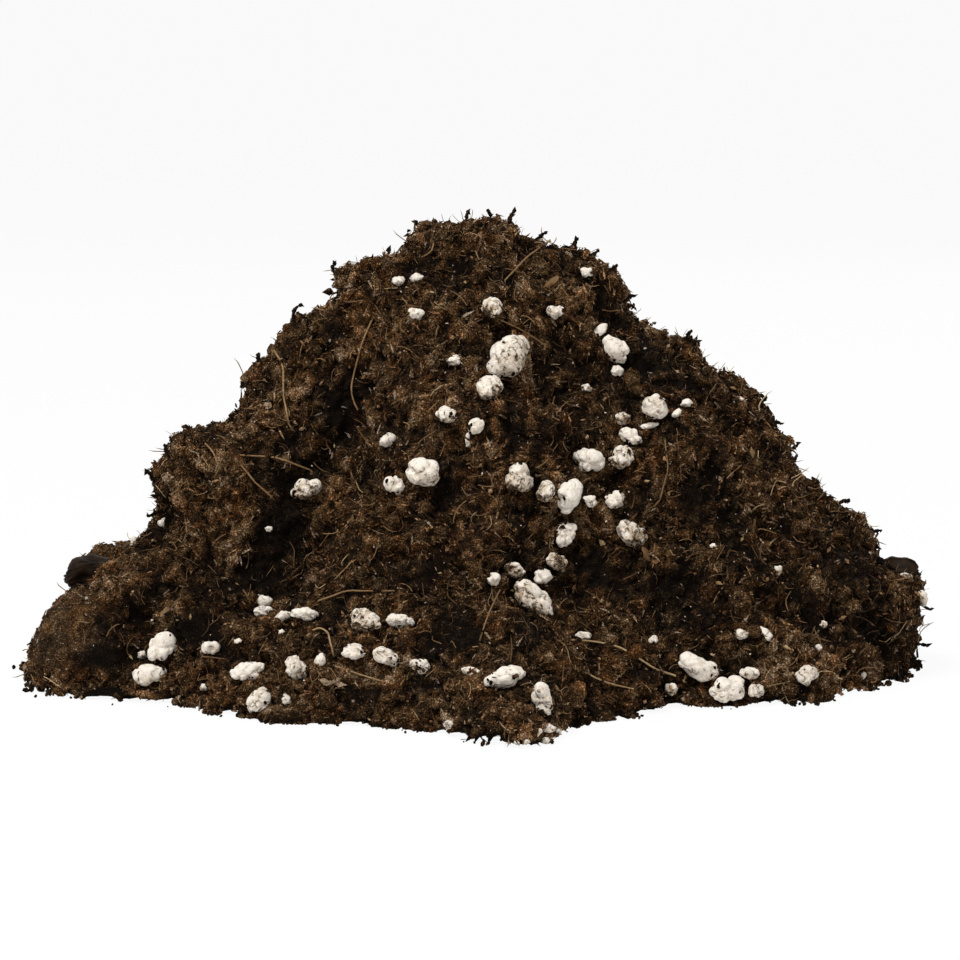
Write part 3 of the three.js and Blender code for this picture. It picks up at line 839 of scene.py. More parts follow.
def maths(tree, operation, first, second, clamp=False):
    """The result of a sum on two sockets or values."""
    made = tree.nodes.new("ShaderNodeMath")
    made.operation = operation
    made.use_clamp = clamp
    for socket, value in zip(made.inputs, (first, second)):
        if isinstance(value, (int, float)):
            socket.default_value = value
        else:
            tree.links.new(value, socket)
    return made.outputs[0]


def stretched(tree, value, shift, factor, clamp=False):
    """A value less a shift, times a factor."""
    return maths(tree, "MULTIPLY", maths(tree, "SUBTRACT", value, shift), factor, clamp=clamp)


def mixed_colours(tree, share, first, second, blend="MIX"):
    """The socket of a mix of two colours. Each of the three inputs is a socket or a value."""
    made = node(tree, "ShaderNodeMix", data_type="RGBA", blend_type=blend)
    for key, value in (("Factor", share), ("A", first), ("B", second)):
        if isinstance(value, bpy.types.NodeSocket):
            tree.links.new(value, made.inputs[key])
        else:
            made.inputs[key].default_value = value
    return made.outputs["Result"]


def seen_rays(tree):
    """A mask of the rays that come from the eye straight, mirrored or through glass."""
    rays = tree.nodes.new("ShaderNodeLightPath")
    seen = maths(tree, "MAXIMUM", rays.outputs["Is Camera Ray"], rays.outputs["Is Glossy Ray"])
    return maths(tree, "MAXIMUM", seen, rays.outputs["Is Transmission Ray"])


def new_material(name):
    """A material with its tree and its main shader."""
    material = bpy.data.materials.new(name)
    material.use_nodes = True
    tree = material.node_tree
    return material, tree, tree.nodes["Principled BSDF"]


def shade_reader(tree, name):
    """The value that the points of a mesh keep under a name."""
    made = tree.nodes.new("ShaderNodeAttribute")
    made.attribute_name = name
    return made.outputs["Fac"]


def new_group(name, outputs, **inputs):
    """A node group of values: its tree, its inputs, its outputs and the place in object space."""
    tree = bpy.data.node_groups.new(name, "ShaderNodeTree")
    for key, value in inputs.items():
        socket = tree.interface.new_socket(key, in_out="INPUT", socket_type="NodeSocketFloat")
        socket.default_value = value
    for key in outputs:
        tree.interface.new_socket(key, in_out="OUTPUT", socket_type="NodeSocketFloat")
    entry = tree.nodes.new("NodeGroupInput")
    leave = tree.nodes.new("NodeGroupOutput")
    where = tree.nodes.new("ShaderNodeTexCoord")
    return tree, entry.outputs, leave.inputs, where.outputs["Object"]


def grain_group():
    """Fine grain over object space, as a value round zero and a height."""
    found = bpy.data.node_groups.get("Fine grain")
    if found:
        return found
    tree, entry, leave, where = new_group("Fine grain", ("Value", "Height"), Fine=2600, Broad=420)
    small = node(tree, "ShaderNodeTexNoise", Detail=3.0, Roughness=0.65)
    large = node(tree, "ShaderNodeTexNoise", Detail=2.0, Roughness=0.5)
    for texture, size in ((small, "Fine"), (large, "Broad")):
        tree.links.new(where, texture.inputs["Vector"])
        tree.links.new(entry[size], texture.inputs["Scale"])
    near = stretched(tree, small.outputs["Fac"], 0.5, 1.0)
    far = stretched(tree, large.outputs["Fac"], 0.5, 0.8)
    tree.links.new(maths(tree, "ADD", near, far), leave["Value"])
    tree.links.new(small.outputs["Fac"], leave["Height"])
    return tree


def crumb_group():
    """Tiny crumbs packed side by side over object space: a value for each one, darker towards its rim as
    painted shade between the crumbs, and their height.
    """
    found = bpy.data.node_groups.get("Packed crumbs")
    if found:
        return found
    tree, entry, leave, where = new_group("Packed crumbs", ("Value", "Height"), Scale=1900)
    cells = node(tree, "ShaderNodeTexVoronoi", feature="F1")
    rims = node(tree, "ShaderNodeTexVoronoi", feature="DISTANCE_TO_EDGE")
    for texture in (cells, rims):
        tree.links.new(where, texture.inputs["Vector"])
        tree.links.new(entry["Scale"], texture.inputs["Scale"])
    parts = tree.nodes.new("ShaderNodeSeparateColor")
    tree.links.new(cells.outputs["Color"], parts.inputs["Color"])
    height = maths(tree, "MULTIPLY", rims.outputs["Distance"], 4.0, clamp=True)
    own = stretched(tree, parts.outputs["Red"], 0.5, 0.24)
    # Painted shade: each crumb's value is darker towards its rim.
    rim = stretched(tree, height, 0.7, 0.3)
    tree.links.new(maths(tree, "ADD", own, rim), leave["Value"])
    tree.links.new(height, leave["Height"])
    return tree


def crack_group():
    """Thin broken crack lines over object space, as a mask."""
    found = bpy.data.node_groups.get("Crack lines")
    if found:
        return found
    tree, entry, leave, where = new_group("Crack lines", ("Mask",), Amount=0.3, Scale=600)
    warp = node(tree, "ShaderNodeTexNoise", Detail=2.0, Scale=1100.0)
    tree.links.new(where, warp.inputs["Vector"])
    shift = node(tree, "ShaderNodeVectorMath", operation="SCALE", Scale=0.9 * MM)
    tree.links.new(warp.outputs["Color"], shift.inputs[0])
    bent = node(tree, "ShaderNodeVectorMath", operation="ADD")
    tree.links.new(where, bent.inputs[0])
    tree.links.new(shift.outputs["Vector"], bent.inputs[1])
    rims = node(tree, "ShaderNodeTexVoronoi", feature="DISTANCE_TO_EDGE")
    tree.links.new(bent.outputs["Vector"], rims.inputs["Vector"])
    tree.links.new(entry["Scale"], rims.inputs["Scale"])
    broken = node(tree, "ShaderNodeTexNoise", Detail=2.0, Scale=500.0)
    tree.links.new(where, broken.inputs["Vector"])
    edge = maths(tree, "SUBTRACT", 0.62, maths(tree, "MULTIPLY", entry["Amount"], 0.3))
    parts = stretched(tree, broken.outputs["Fac"], edge, 8.0, clamp=True)
    line = maths(tree, "SUBTRACT", 1.0, maths(tree, "MULTIPLY", rims.outputs["Distance"], 11.0), clamp=True)
    tree.links.new(maths(tree, "MULTIPLY", line, parts), leave["Mask"])
    return tree


def speck_group():
    """Small specks of soil scattered over object space, as a mask."""
    found = bpy.data.node_groups.get("Soil specks")
    if found:
        return found
    tree, entry, leave, where = new_group("Soil specks", ("Mask",), Amount=0.3, Scale=1500)
    spots = node(tree, "ShaderNodeTexNoise", Detail=5.0, Roughness=0.68)
    tree.links.new(where, spots.inputs["Vector"])
    tree.links.new(entry["Scale"], spots.inputs["Scale"])
    edge = maths(tree, "SUBTRACT", 0.69, maths(tree, "MULTIPLY", entry["Amount"], 0.24))
    over = maths(tree, "SUBTRACT", spots.outputs["Fac"], edge)
    tree.links.new(maths(tree, "MULTIPLY", over, 9.0, clamp=True), leave["Mask"])
    return tree


def use_group(tree, group, **values):
    """A node group put to use with its values."""
    made = tree.nodes.new("ShaderNodeGroup")
    made.node_tree = group
    for key, value in values.items():
        made.inputs[key].default_value = value
    return made


def soil_material(soil):
    """Dark crumbly peat: the shade of each crumb with fine grain over it, from wet black to dry brown. Part
    of that shade is painted: darker in crevices, gullies and hollows, paler on crests.
    """
    found = bpy.data.materials.get("Peat")
    if found:
        return found
    material, tree, shader = new_material("Peat")
    grain = use_group(tree, grain_group(), Fine=2600.0, Broad=420.0)
    crumbs = use_group(tree, crumb_group(), Scale=1900.0)
    texture = maths(tree, "ADD", grain.outputs["Value"], crumbs.outputs["Value"])
    calm = maths(tree, "SUBTRACT", 1.0, maths(tree, "MULTIPLY", shade_reader(tree, "pressed"), 0.25))
    texture = maths(tree, "MULTIPLY", texture, calm)
    mixed = maths(tree, "ADD", shade_reader(tree, "shade"), texture, clamp=True)
    stops = (
        (0.0, tuple(soil.darkest)),
        (0.3, tuple(soil.dark)),
        (0.55, tuple(soil.middle)),
        (0.8, tuple(soil.warm)),
        (1.0, tuple(soil.pale)),
    )
    colours = ramp(tree, stops)
    tree.links.new(mixed, colours.inputs["Fac"])
    where = tree.nodes.new("ShaderNodeTexCoord")
    patches = node(tree, "ShaderNodeTexNoise", Scale=150.0, Detail=4.0, Roughness=0.7)
    tree.links.new(where.outputs["Object"], patches.inputs["Vector"])
    broad = stretched(tree, patches.outputs["Fac"], 0.42, 4.0)
    single = stretched(tree, shade_reader(tree, "tint"), 0.5, 2.0)
    red = maths(tree, "ADD", broad, single, clamp=True)
    tinged = mixed_colours(tree, red, colours.outputs["Color"], (*soil.russet, 1), "MULTIPLY")
    # Cast by the soil's shade, painted shade included: cooler in the hollows, warmer on the crests.
    warm = stretched(tree, shade_reader(tree, "warmth"), 0.1, 2.5, clamp=True)
    cast = mixed_colours(tree, warm, (*soil.cool_cast, 1), (*soil.warm_cast, 1))
    tree.links.new(mixed_colours(tree, 1, tinged, cast, "MULTIPLY"), shader.inputs["Base Color"])
    bump = node(tree, "ShaderNodeBump", Strength=0.8, Distance=0.3 * MM)
    heights = maths(tree, "ADD", grain.outputs["Height"], crumbs.outputs["Height"])
    tree.links.new(heights, bump.inputs["Height"])
    tree.links.new(bump.outputs["Normal"], shader.inputs["Normal"])
    shader.inputs["Roughness"].default_value = 0.95
    shader.inputs["Specular IOR Level"].default_value = 0.06
    return material


def fibre_material(fibres):
    """Coir and root fibres, dark brown to bleached."""
    found = bpy.data.materials.get("Coir fibre")
    if found:
        return found
    material, tree, shader = new_material("Coir fibre")
    grain = use_group(tree, grain_group(), Fine=1800.0, Broad=500.0)
    soft = maths(tree, "MULTIPLY", grain.outputs["Value"], 0.5)
    mixed = maths(tree, "ADD", shade_reader(tree, "shade"), soft, clamp=True)
    colours = ramp(tree, ((0.0, tuple(fibres.dark)), (0.6, tuple(fibres.golden)), (1.0, tuple(fibres.pale))))
    tree.links.new(mixed, colours.inputs["Fac"])
    tree.links.new(colours.outputs["Color"], shader.inputs["Base Color"])
    shader.inputs["Roughness"].default_value = 0.7
    shader.inputs["Specular IOR Level"].default_value = 0.3
    return material


def perlite_material(perlite):
    """White expanded glass with fine cracks, brown stains and soil in its pits, with painted shade in the
    creases.
    """
    found = bpy.data.materials.get("Perlite")
    if found:
        return found
    material, tree, shader = new_material("Perlite")
    # The points' value holds the soil stains and the painted shade of the creases between lobes.
    dirt = shade_reader(tree, "shade")
    grain = use_group(tree, grain_group(), Fine=1700.0, Broad=700.0)
    stain = maths(tree, "ADD", maths(tree, "MULTIPLY", dirt, 0.75), grain.outputs["Value"], clamp=True)
    body = ramp(tree, ((0.05, tuple(perlite.white)), (0.55, tuple(perlite.cream)), (1.0, tuple(perlite.tan))))
    tree.links.new(stain, body.inputs["Fac"])
    cracks = use_group(tree, crack_group(), Scale=620.0)
    specks = use_group(tree, speck_group(), Scale=1300.0)
    for marks, least in ((cracks, 0.08), (specks, 0.24)):
        amount = maths(tree, "ADD", maths(tree, "MULTIPLY", dirt, 0.8), least)
        tree.links.new(amount, marks.inputs["Amount"])
    lines = mixed_colours(tree, cracks.outputs["Mask"], body.outputs["Color"], (*perlite.crack, 1))
    soiled_and_shaded = mixed_colours(tree, specks.outputs["Mask"], lines, (*perlite.dirt, 1))
    tree.links.new(soiled_and_shaded, shader.inputs["Base Color"])
    bump = node(tree, "ShaderNodeBump", Strength=1.0, Distance=0.35 * MM)
    sunk = maths(tree, "SUBTRACT", grain.outputs["Height"], cracks.outputs["Mask"])
    tree.links.new(sunk, bump.inputs["Height"])
    tree.links.new(bump.outputs["Normal"], shader.inputs["Normal"])
    shader.inputs["Roughness"].default_value = 0.85
    shader.inputs["Specular IOR Level"].default_value = 0.3
    return material


def bark_material(bark):
    """Blackish bark with brown ridges and a slight gloss."""
    found = bpy.data.materials.get("Bark")
    if found:
        return found
    material, tree, shader = new_material("Bark")
    grain = use_group(tree, grain_group(), Fine=1500.0, Broad=350.0)
    mixed = maths(tree, "ADD", shade_reader(tree, "shade"), grain.outputs["Value"], clamp=True)
    colours = ramp(tree, ((0.0, tuple(bark.dark)), (1.0, tuple(bark.brown))))
    tree.links.new(mixed, colours.inputs["Fac"])
    tree.links.new(colours.outputs["Color"], shader.inputs["Base Color"])
    bump = node(tree, "ShaderNodeBump", Strength=0.4, Distance=0.3 * MM)
    tree.links.new(grain.outputs["Height"], bump.inputs["Height"])
    tree.links.new(bump.outputs["Normal"], shader.inputs["Normal"])
    shader.inputs["Roughness"].default_value = 0.6
    shader.inputs["Specular IOR Level"].default_value = 0.06
    return material


class MIX_OT_soil_mass(Operator):
    """Builds the crumbly mass of peat and coir that holds the heap together"""

    bl_idname = "mix.soil_mass"
    bl_label = "Soil mass"

    def execute(self, context):
        soil = context.scene.mix_soil
        rough = bpy.data.objects.new("soil_rough", mesh_from(merged_copy(SOIL_NODE), "soil_rough"))
        context.scene.collection.objects.link(rough)
        fine = rough.modifiers.new("fine", "REMESH")
        fine.mode = "VOXEL"
        fine.voxel_size = soil.grid
        graph = context.evaluated_depsgraph_get()
        mesh = bpy.data.meshes.new_from_object(rough.evaluated_get(graph))
        bpy.data.objects.remove(rough)
        bm = bmesh.new()
        bm.from_mesh(mesh)
        bpy.data.meshes.remove(mesh)
        down = [face for face in bm.faces if face.normal.z < -0.95]
        base = [face for face in down if face.calc_center_median().z < soil.grid]
        bmesh.ops.dissolve_faces(bm, faces=base)
        bm.normal_update()
        smooth(bm, 6)
        bm.normal_update()
        shades = self.patchy(bm, FrontView(context.scene.mix_stage))
        shades += self.roughen(bm, soil, Vector(context.scene.mix_stage.axis))
        # Painted shade: points that see less of the sky past the soil round them get a darker colour.
        shades += 0.55 * (self.openness(bm) - 0.6)
        pressed = compacted(np.array([vert.co for vert in bm.verts]))
        mesh = mesh_from(bm, "soil_mass")
        write_shades(mesh, "shade", np.clip(shades, 0.0, 0.85))
        write_shades(mesh, "tint", np.full(len(shades), 0.5))
        write_shades(mesh, "warmth", shades - 0.15 * pressed)
        write_shades(mesh, "pressed", pressed)
        mesh.shade_smooth()
        place_piece("soil_mass", mesh, soil_material(soil), (SOIL_NODE,))
        return {"FINISHED"}

    def patchy(self, bm, view):
        """How much paler or darker each point is: painted shade in the hollows of the front slope, and paler
        patches that are partly drier crumbs and partly painted light.
        """
        places = np.array([vert.co for vert in bm.verts])
        normals = np.array([vert.normal for vert in bm.verts])
        across, up = view.seen_at(places)
        facing = np.clip(normals @ np.array(view.back) * 3, 0, 1)
        shades = np.zeros(len(places))
        for middle, height, length, width, roll, dark in PATCHES:
            angle = math.radians(roll)
            along = (across - middle) * math.cos(angle) + (up - height) * math.sin(angle)
            beside = (up - height) * math.cos(angle) - (across - middle) * math.sin(angle)
            near = np.clip(1.35 - np.hypot(along / length, beside / width), 0, 1)
            # Painted shade where dark is above zero; below zero, paler crumbs that partly stand for painted
            # light.
            shades -= near * near * (3 - 2 * near) * facing * dark
        return shades

    def roughen(self, bm, soil, axis):
        """Moves the surface out into clods, clumps and crumbs, and returns each point's shade, with painted
        shade in the crevices and gullies.
        """
        shades = []
        moves = []
        for vert in bm.verts:
            here = vert.co
            pressed = float(compacted(np.array([here]))[0])
            loose = 1 - 0.8 * pressed
            clod = noise.fractal(here / soil.clod_width, 0.75, 2.1, 4)
            warp = noise.noise_vector(here / (5.5 * MM)) * 2.2 * MM
            gaps, spots = noise.voronoi((here + warp) / soil.clump_width)
            crest = min(1.0, (gaps[1] - gaps[0]) / 0.4)
            own = noise.cell(spots[0] * 37.0)
            crumb = 0.5 - noise.voronoi((here + warp) / soil.crumb_width)[0][0]
            grain = noise.noise(here / (0.9 * MM))
            out = soil.clod_rise * clod * loose - 0.6 * MM * loose
            out += soil.clump_rise * (crest - 0.72 + 0.35 * own) * loose
            out += soil.crumb_rise * crumb * loose
            out += 0.3 * MM * grain * loose
            run = gully(here, axis)
            out += 0.8 * MM * run * loose
            moves.append(out)
            patch = noise.noise(here / (15 * MM) + Vector((2, 5, 9)))
            patch += 0.8 * noise.noise(here / (6.5 * MM) + Vector((4, 1, 3)))
            patch = patch * (0.8 if patch > 0 else 1.15)
            # Painted shade and light: crevices, gullies and low clods darker, crests, raised clods and crumbs
            # paler, besides each clump's own tone and the random patches.
            tone = 0.22 + 0.22 * run * loose + 0.16 * crest * loose + 0.07 * pressed + 0.13 * clod * loose
            shades.append(tone + 0.1 * own + 0.22 * patch * loose + 0.18 * crumb * loose + 0.05 * grain)
        for vert, out in zip(bm.verts, moves):
            if vert.co.z > 0.3 * MM:
                vert.co += vert.normal * out
                vert.co.z = max(vert.co.z, 0.05 * MM)
            else:
                vert.co.z = 0.0
        bm.normal_update()
        return np.array(shades)

    def openness(self, bm):
        """The share of the sky that each point sees past the soil round it, from 0 to 1."""
        tree = BVHTree.FromBMesh(bm)
        ways = [Vector((0, 0, 1))]
        for height, count in ((0.75, 5), (0.4, 6), (0.05, 5)):
            level = math.sqrt(1 - height * height)
            for k in range(count):
                turn = math.tau * (k + height) / count
                ways.append(Vector((level * math.cos(turn), level * math.sin(turn), height)))
        seen = np.ones(len(bm.verts))
        for vert in bm.verts:
            start = vert.co + vert.normal * 0.2 * MM
            facing = [way for way in ways if way.dot(vert.normal) > 0.05]
            if facing:
                gaps = (tree.ray_cast(start, way, 24 * MM)[3] for way in facing)
                free = sum(1.0 if gap is None else gap / (30 * MM) for gap in gaps)
                seen[vert.index] = free / len(facing)
        return seen


class MIX_OT_soil_crumbs(Operator):
    """Strews loose clumps, crumbs and grains over the soil and round its foot"""

    bl_idname = "mix.soil_crumbs"
    bl_label = "Loose crumbs"

    def execute(self, context):
        soil = context.scene.mix_soil
        surface = SoilSurface()
        granules = granule_tree()
        rng = np.random.default_rng(CRUMB_SEED)
        clump = [chunk_seed(rng, 2, 0.75) for _ in range(7)]
        chunk = [chunk_seed(rng, 1, 0.8) for _ in range(9)]
        grain = [grain_seed(rng, 0.85, 0.75) for _ in range(6)]
        fine = [fine_seed(rng) for _ in range(6)]

        def weight(middles):
            apron = np.clip((26 * MM - middles[:, 2]) / (20 * MM), 0, 1)
            return (1 + 0.8 * apron) * (1 - 0.85 * compacted(middles))

        kinds = (
            ("soil_clods", clump, soil.clods, 3.2, 0.25, 0.05, 0.6, 0.0, 0.05),
            ("soil_clumps", clump, soil.clumps, 1.9, 0.3, 0.08, 0.6, 0.0, 0.07),
            ("soil_chunks", chunk, soil.chunks, 1.0, 0.3, 0.25, 0.6, 0.02, 0.11),
            ("soil_grains", grain, soil.grains, 0.75, 0.3, 0.35, 0.6, 0.05, 0.16),
            ("soil_fines", fine, soil.fines, 0.55, 0.25, 0.5, 0.6, 0.06, 0.18),
        )
        for name, *rest in kinds:
            strew_soil(name, surface, granules, rng, *rest, weight)
        self.foot(surface, rng, chunk, soil.foot_crumbs)
        drop_seeds(clump + chunk + grain + fine)
        return {"FINISHED"}

    def foot(self, surface, rng, seeds, count):
        """Loose crumbs along the rim of the foot, some of them rolled off onto the floor."""
        rim = np.flatnonzero(surface.places[:, 2] < 0.06 * MM)
        share = 1 - 0.7 * compacted(surface.places[rim] + np.array((0, 0, 8 * MM)))
        rim = rng.choice(rim, count, p=share / share.sum())
        which = rng.integers(0, len(seeds), count).tolist()
        matrices = []
        for place, normal in zip(surface.places[rim], surface.normals[rim]):
            size = 1.0 * math.exp(float(np.clip(rng.normal(0, 0.4), -0.9, 0.9))) * MM
            away = Vector((normal[0], normal[1], 0)).normalized()
            spot = Vector(place) + away * (min(rng.exponential(0.8), 4.5) - 0.45) * MM
            spot.z = rng.uniform(0.3, 0.45) * size
            turn = Euler(rng.uniform(0, math.tau, 3)).to_matrix()
            matrices.append(placed(spot, turn, size))
        shades = np.clip(rng.normal(0.34, 0.14, count), 0.05, 1)
        mesh = strewn_mesh("foot_crumbs", seeds, which, matrices, shades)
        place_piece("foot_crumbs", mesh, soil_material(bpy.context.scene.mix_soil))


class MIX_OT_moss(Operator):
    """Strews tufts of peat moss, little twigs and short splinters over the soil"""

    bl_idname = "mix.moss"
    bl_label = "Moss and splinters"

    def execute(self, context):
        soil = context.scene.mix_soil
        surface = SoilSurface()
        granules = granule_tree()
        rng = np.random.default_rng(MOSS_SEED)
        tufts = [tuft_seed(rng, 5) for _ in range(8)]
        twigs = [twig_seed(rng) for _ in range(6)]
        slivers = [fibre_seed(rng, 0.11, 2, bend) for bend in (0.2, 0.3, 0.4, 0.5, 0.6, 0.7)]

        def weight(middles):
            high = np.clip((middles[:, 2] - 6 * MM) / (22 * MM), 0, 1)
            return (0.5 + high) * (1 - compacted(middles))

        def strokes(middles):
            high = np.clip((middles[:, 2] - 6 * MM) / (22 * MM), 0, 1)
            return 0.6 + 0.6 * high + 0.5 * compacted(middles)

        third = (slivers, soil.splinters // 3, 1.15, 0.4, 0.2, 0.24, 0.1, 0.17, strokes)
        kinds = [
            ("moss_tufts", tufts, soil.tufts, 1.3, 0.3, 0.0, 0.6, 0.0, 0.12, weight),
            ("soil_twigs", twigs, soil.twigs, 1.7, 0.4, 0.0, 0.6, -0.06, 0.1, weight),
        ]
        kinds += [(f"soil_splinters_{part}", *third) for part in "abc"]
        for name, *rest in kinds:
            strew_soil(name, surface, granules, rng, *rest)
        drop_seeds(tufts + twigs + slivers)
        self.sprigs(surface, rng, FrontView(context.scene.mix_stage))
        return {"FINISHED"}

    def sprigs(self, surface, rng, view):
        """Knobbly sprigs that stand out of the outline, each with stubs on its sides."""
        bm = bmesh.new()
        for across, up, length, lean in SPRIGS:
            root, _ = view.spot(surface, across, up)
            angle = math.radians(lean + rng.normal() * 14)
            way = view.right * math.sin(angle) + view.up * math.cos(angle)
            way += view.back * rng.uniform(-0.2, 0.3)
            way.normalize()
            here = root - way * 0.8 * MM
            radius = rng.uniform(0.32, 0.5) * MM
            for _ in range(3):
                here = grow_strand(bm, rng, here, way, (length + 0.8) / 3 * MM, radius, 2, 0.2, 0.95, 5)
                for _ in range(2):
                    side = (Vector(rng.normal(size=3)) + way * 0.5).normalized()
                    reach = rng.uniform(0.3, 1.0) * MM
                    start = here - side * 0.5 * radius
                    grow_strand(bm, rng, start, side, reach, 0.8 * radius, 2, 0.4, 1.0, 5)
                way = (way + Vector(rng.normal(size=3)) * 0.35).normalized()
        bmesh.ops.recalc_face_normals(bm, faces=bm.faces)
        for vert in bm.verts:
            vert.co += Vector(rng.normal(0, 0.12 * MM, 3))
        mesh = mesh_from(bm, "moss_sprigs")
        write_shades(mesh, "shade", np.clip(rng.normal(0.22, 0.1, len(mesh.vertices)), 0.02, 0.5))
        write_shades(mesh, "tint", np.full(len(mesh.vertices), 0.3))
        place_piece("moss_sprigs", mesh, soil_material(bpy.context.scene.mix_soil))


class MIX_OT_fibres(Operator):
    """Strews short coir fibres and lays the long loose ones"""

    bl_idname = "mix.fibres"
    bl_label = "Fibres"

    def execute(self, context):
        fibres = context.scene.mix_fibres
        surface = SoilSurface()
        granules = granule_tree()
        rng = np.random.default_rng(FIBRE_SEED)
        self.short(surface, granules, rng, fibres)
        view = FrontView(context.scene.mix_stage)
        self.long(surface, rng, fibres, view)
        self.flakes(surface, granules, rng, fibres, view)
        return {"FINISHED"}

    def flakes(self, surface, granules, rng, fibres, view):
        """Thin flakes of golden wood between the fibres."""
        seeds = [grain_seed(rng, 0.4, 0.16) for _ in range(6)]
        large = [chunk_seed(rng, 2, 0.2) for _ in range(2)]
        matrices = []
        for across, up, length, roll in WOOD_FLAKES:
            place, normal = view.spot(surface, across, up)
            angle = math.radians(roll)
            way = view.right * math.cos(angle) + view.up * math.sin(angle)
            side = normal.cross(way).normalized()
            turn = Matrix((side.cross(normal), side, normal)).transposed()
            size = Matrix.Diagonal((length * MM, 0.55 * length * MM, length * MM, 1))
            matrices.append(Matrix.Translation(place + normal * 0.25 * MM) @ turn.to_4x4() @ size)
        places, normals, _ = surface.strew(rng, fibres.flake_count, lambda middles: 1 - compacted(middles))
        for place, normal in zip(places, normals):
            size = float(np.clip(1.4 * np.exp(rng.normal(0, 0.35)), 0.7, 3.2)) * MM
            spot = Vector(place) + Vector(normal) * 0.3 * MM
            gap = granules.find_nearest(spot, 6 * MM)[3]
            if spot.z > 0.8 * MM and (gap is None or gap > 0.6 * size):
                turn = lying_anyhow(normal, rng, 0.3)
                matrices.append(placed(spot, turn, size))
        which = rng.integers(2, len(large + seeds), len(matrices))
        shades = rng.uniform(0.3, 0.95, len(matrices))
        which[:len(WOOD_FLAKES)] %= 2
        shades[:len(WOOD_FLAKES)] = 0.42
        mesh = strewn_mesh("wood_flakes", large + seeds, which.tolist(), matrices, shades)
        place_piece("wood_flakes", mesh, fibre_material(fibres))
        drop_seeds(large + seeds)

    def short(self, surface, granules, rng, fibres):
        """Strews the short fibres, most of them along their neighbours."""
        length = SHORT_LENGTH
        bends = (0.15, 0.25, 0.35, 0.45, 0.55, 0.3)
        seeds = [fibre_seed(rng, fibres.short_radius / length, 5, bend) for bend in bends]
        crests = surface.crests()

        def weight(middles):
            return crests * (1 - 0.8 * compacted(middles))

        count = fibres.short_count
        places, normals, grounds = surface.strew(rng, count, weight)
        which = []
        matrices = []
        shades = []
        for i in range(count):
            normal = Vector(normals[i])
            size = length * float(np.clip(np.exp(rng.normal(0, 0.4)), 0.45, 2.2))
            spot = Vector(places[i]) + normal * 0.28 * MM
            gap = granules.find_nearest(spot, 6 * MM)[3]
            if spot.z < 0.9 * MM or (gap is not None and gap < 0.4 * size):
                continue
            slope = normal + 1.5 * surface.slopes.find_nearest(spot)[1]
            turn = lying(slope, matting(spot) + rng.normal() * 0.8, rng.normal() * 0.25, rng.normal() * 0.1)
            which.append(int(rng.integers(len(seeds))))
            matrices.append(placed(spot, turn, size))
            # Each fibre takes part of the soil's shade under it, painted shade included.
            shades.append(float(np.clip(0.8 * grounds[i] + rng.beta(1.1, 4.0) * 0.75, 0, 1)))
        mesh = strewn_mesh("short_fibres", seeds, which, matrices, shades)
        place_piece("short_fibres", mesh, fibre_material(fibres))
        drop_seeds(seeds)

    def long(self, surface, rng, fibres, view):
        """Lays the long fibres of the front view and some that wander."""
        strands = []
        for shade, points in LONG_FIBRES:
            radius = fibres.long_radius * (0.9 + 1.3 * shade)
            strands.append((shade, self.laid(surface, view, points), radius))
        places, normals, _ = surface.strew(rng, fibres.long_count, lambda middles: 1 - compacted(middles))
        for place, normal in zip(places, normals):
            if place[2] > 3 * MM:
                path = self.wander(surface, rng, place, normal)
                strands.append((float(rng.beta(1.6, 2.6)), path, fibres.long_radius * rng.uniform(0.6, 1.0)))
        bm = bmesh.new()
        shades = []
        for shade, path, radius in strands:
            mesh = self.strand(path, radius)
            bm.from_mesh(mesh)
            shades.append(np.full(len(mesh.vertices), shade))
            bpy.data.meshes.remove(mesh)
        mesh = mesh_from(bm, "long_fibres")
        write_shades(mesh, "shade", np.concatenate(shades))
        mesh.shade_smooth()
        place_piece("long_fibres", mesh, fibre_material(fibres))

    def laid(self, surface, view, points):
        """A path along points of the front view that lies on the bumps it passes."""
        rows = []
        for first, last in zip(points, points[1:]):
            steps = max(2, int(math.dist(first, last) / 1.5))
            for k in range(steps):
                share = k / steps
                rows.append([a + (b - a) * share for a, b in zip(first, last)])
        rows.append(points[-1])
        rays = [view.sight(across, up) for across, up in rows]
        places = [view.spot(surface, across, up)[0] for across, up in rows]
        depths = [(place - view.eye).dot(ray) for place, ray in zip(places, rays)]
        path = []
        for i, ray in enumerate(rays):
            near = min(depths[max(0, i - 1):i + 2])
            path.append(view.eye + ray * (near - 0.45 * MM))
        return path[::2] + path[-1:]

    def wander(self, surface, rng, place, normal):
        """A path that wanders over the soil from a point, dipping in and out of it."""
        here = Vector(place)
        normal = Vector(normal)
        way = normal.orthogonal().normalized()
        way.rotate(Matrix.Rotation(rng.uniform(0, math.tau), 3, normal))
        step = rng.uniform(1.6, 2.8) * MM
        swerve = rng.normal() * 0.28
        path = []
        for i in range(int(rng.integers(4, 9))):
            path.append(here + normal * (0.35 + 0.45 * math.sin(1.7 * i)) * MM)
            way.rotate(Matrix.Rotation(swerve + rng.normal() * 0.2, 3, normal))
            here, normal, _, _ = surface.tree.find_nearest(here + way * step)
            way = (way - normal * way.dot(normal)).normalized()
            if here.z < 1.2 * MM:
                break
        path.append(here + normal * 0.2 * MM)
        return path

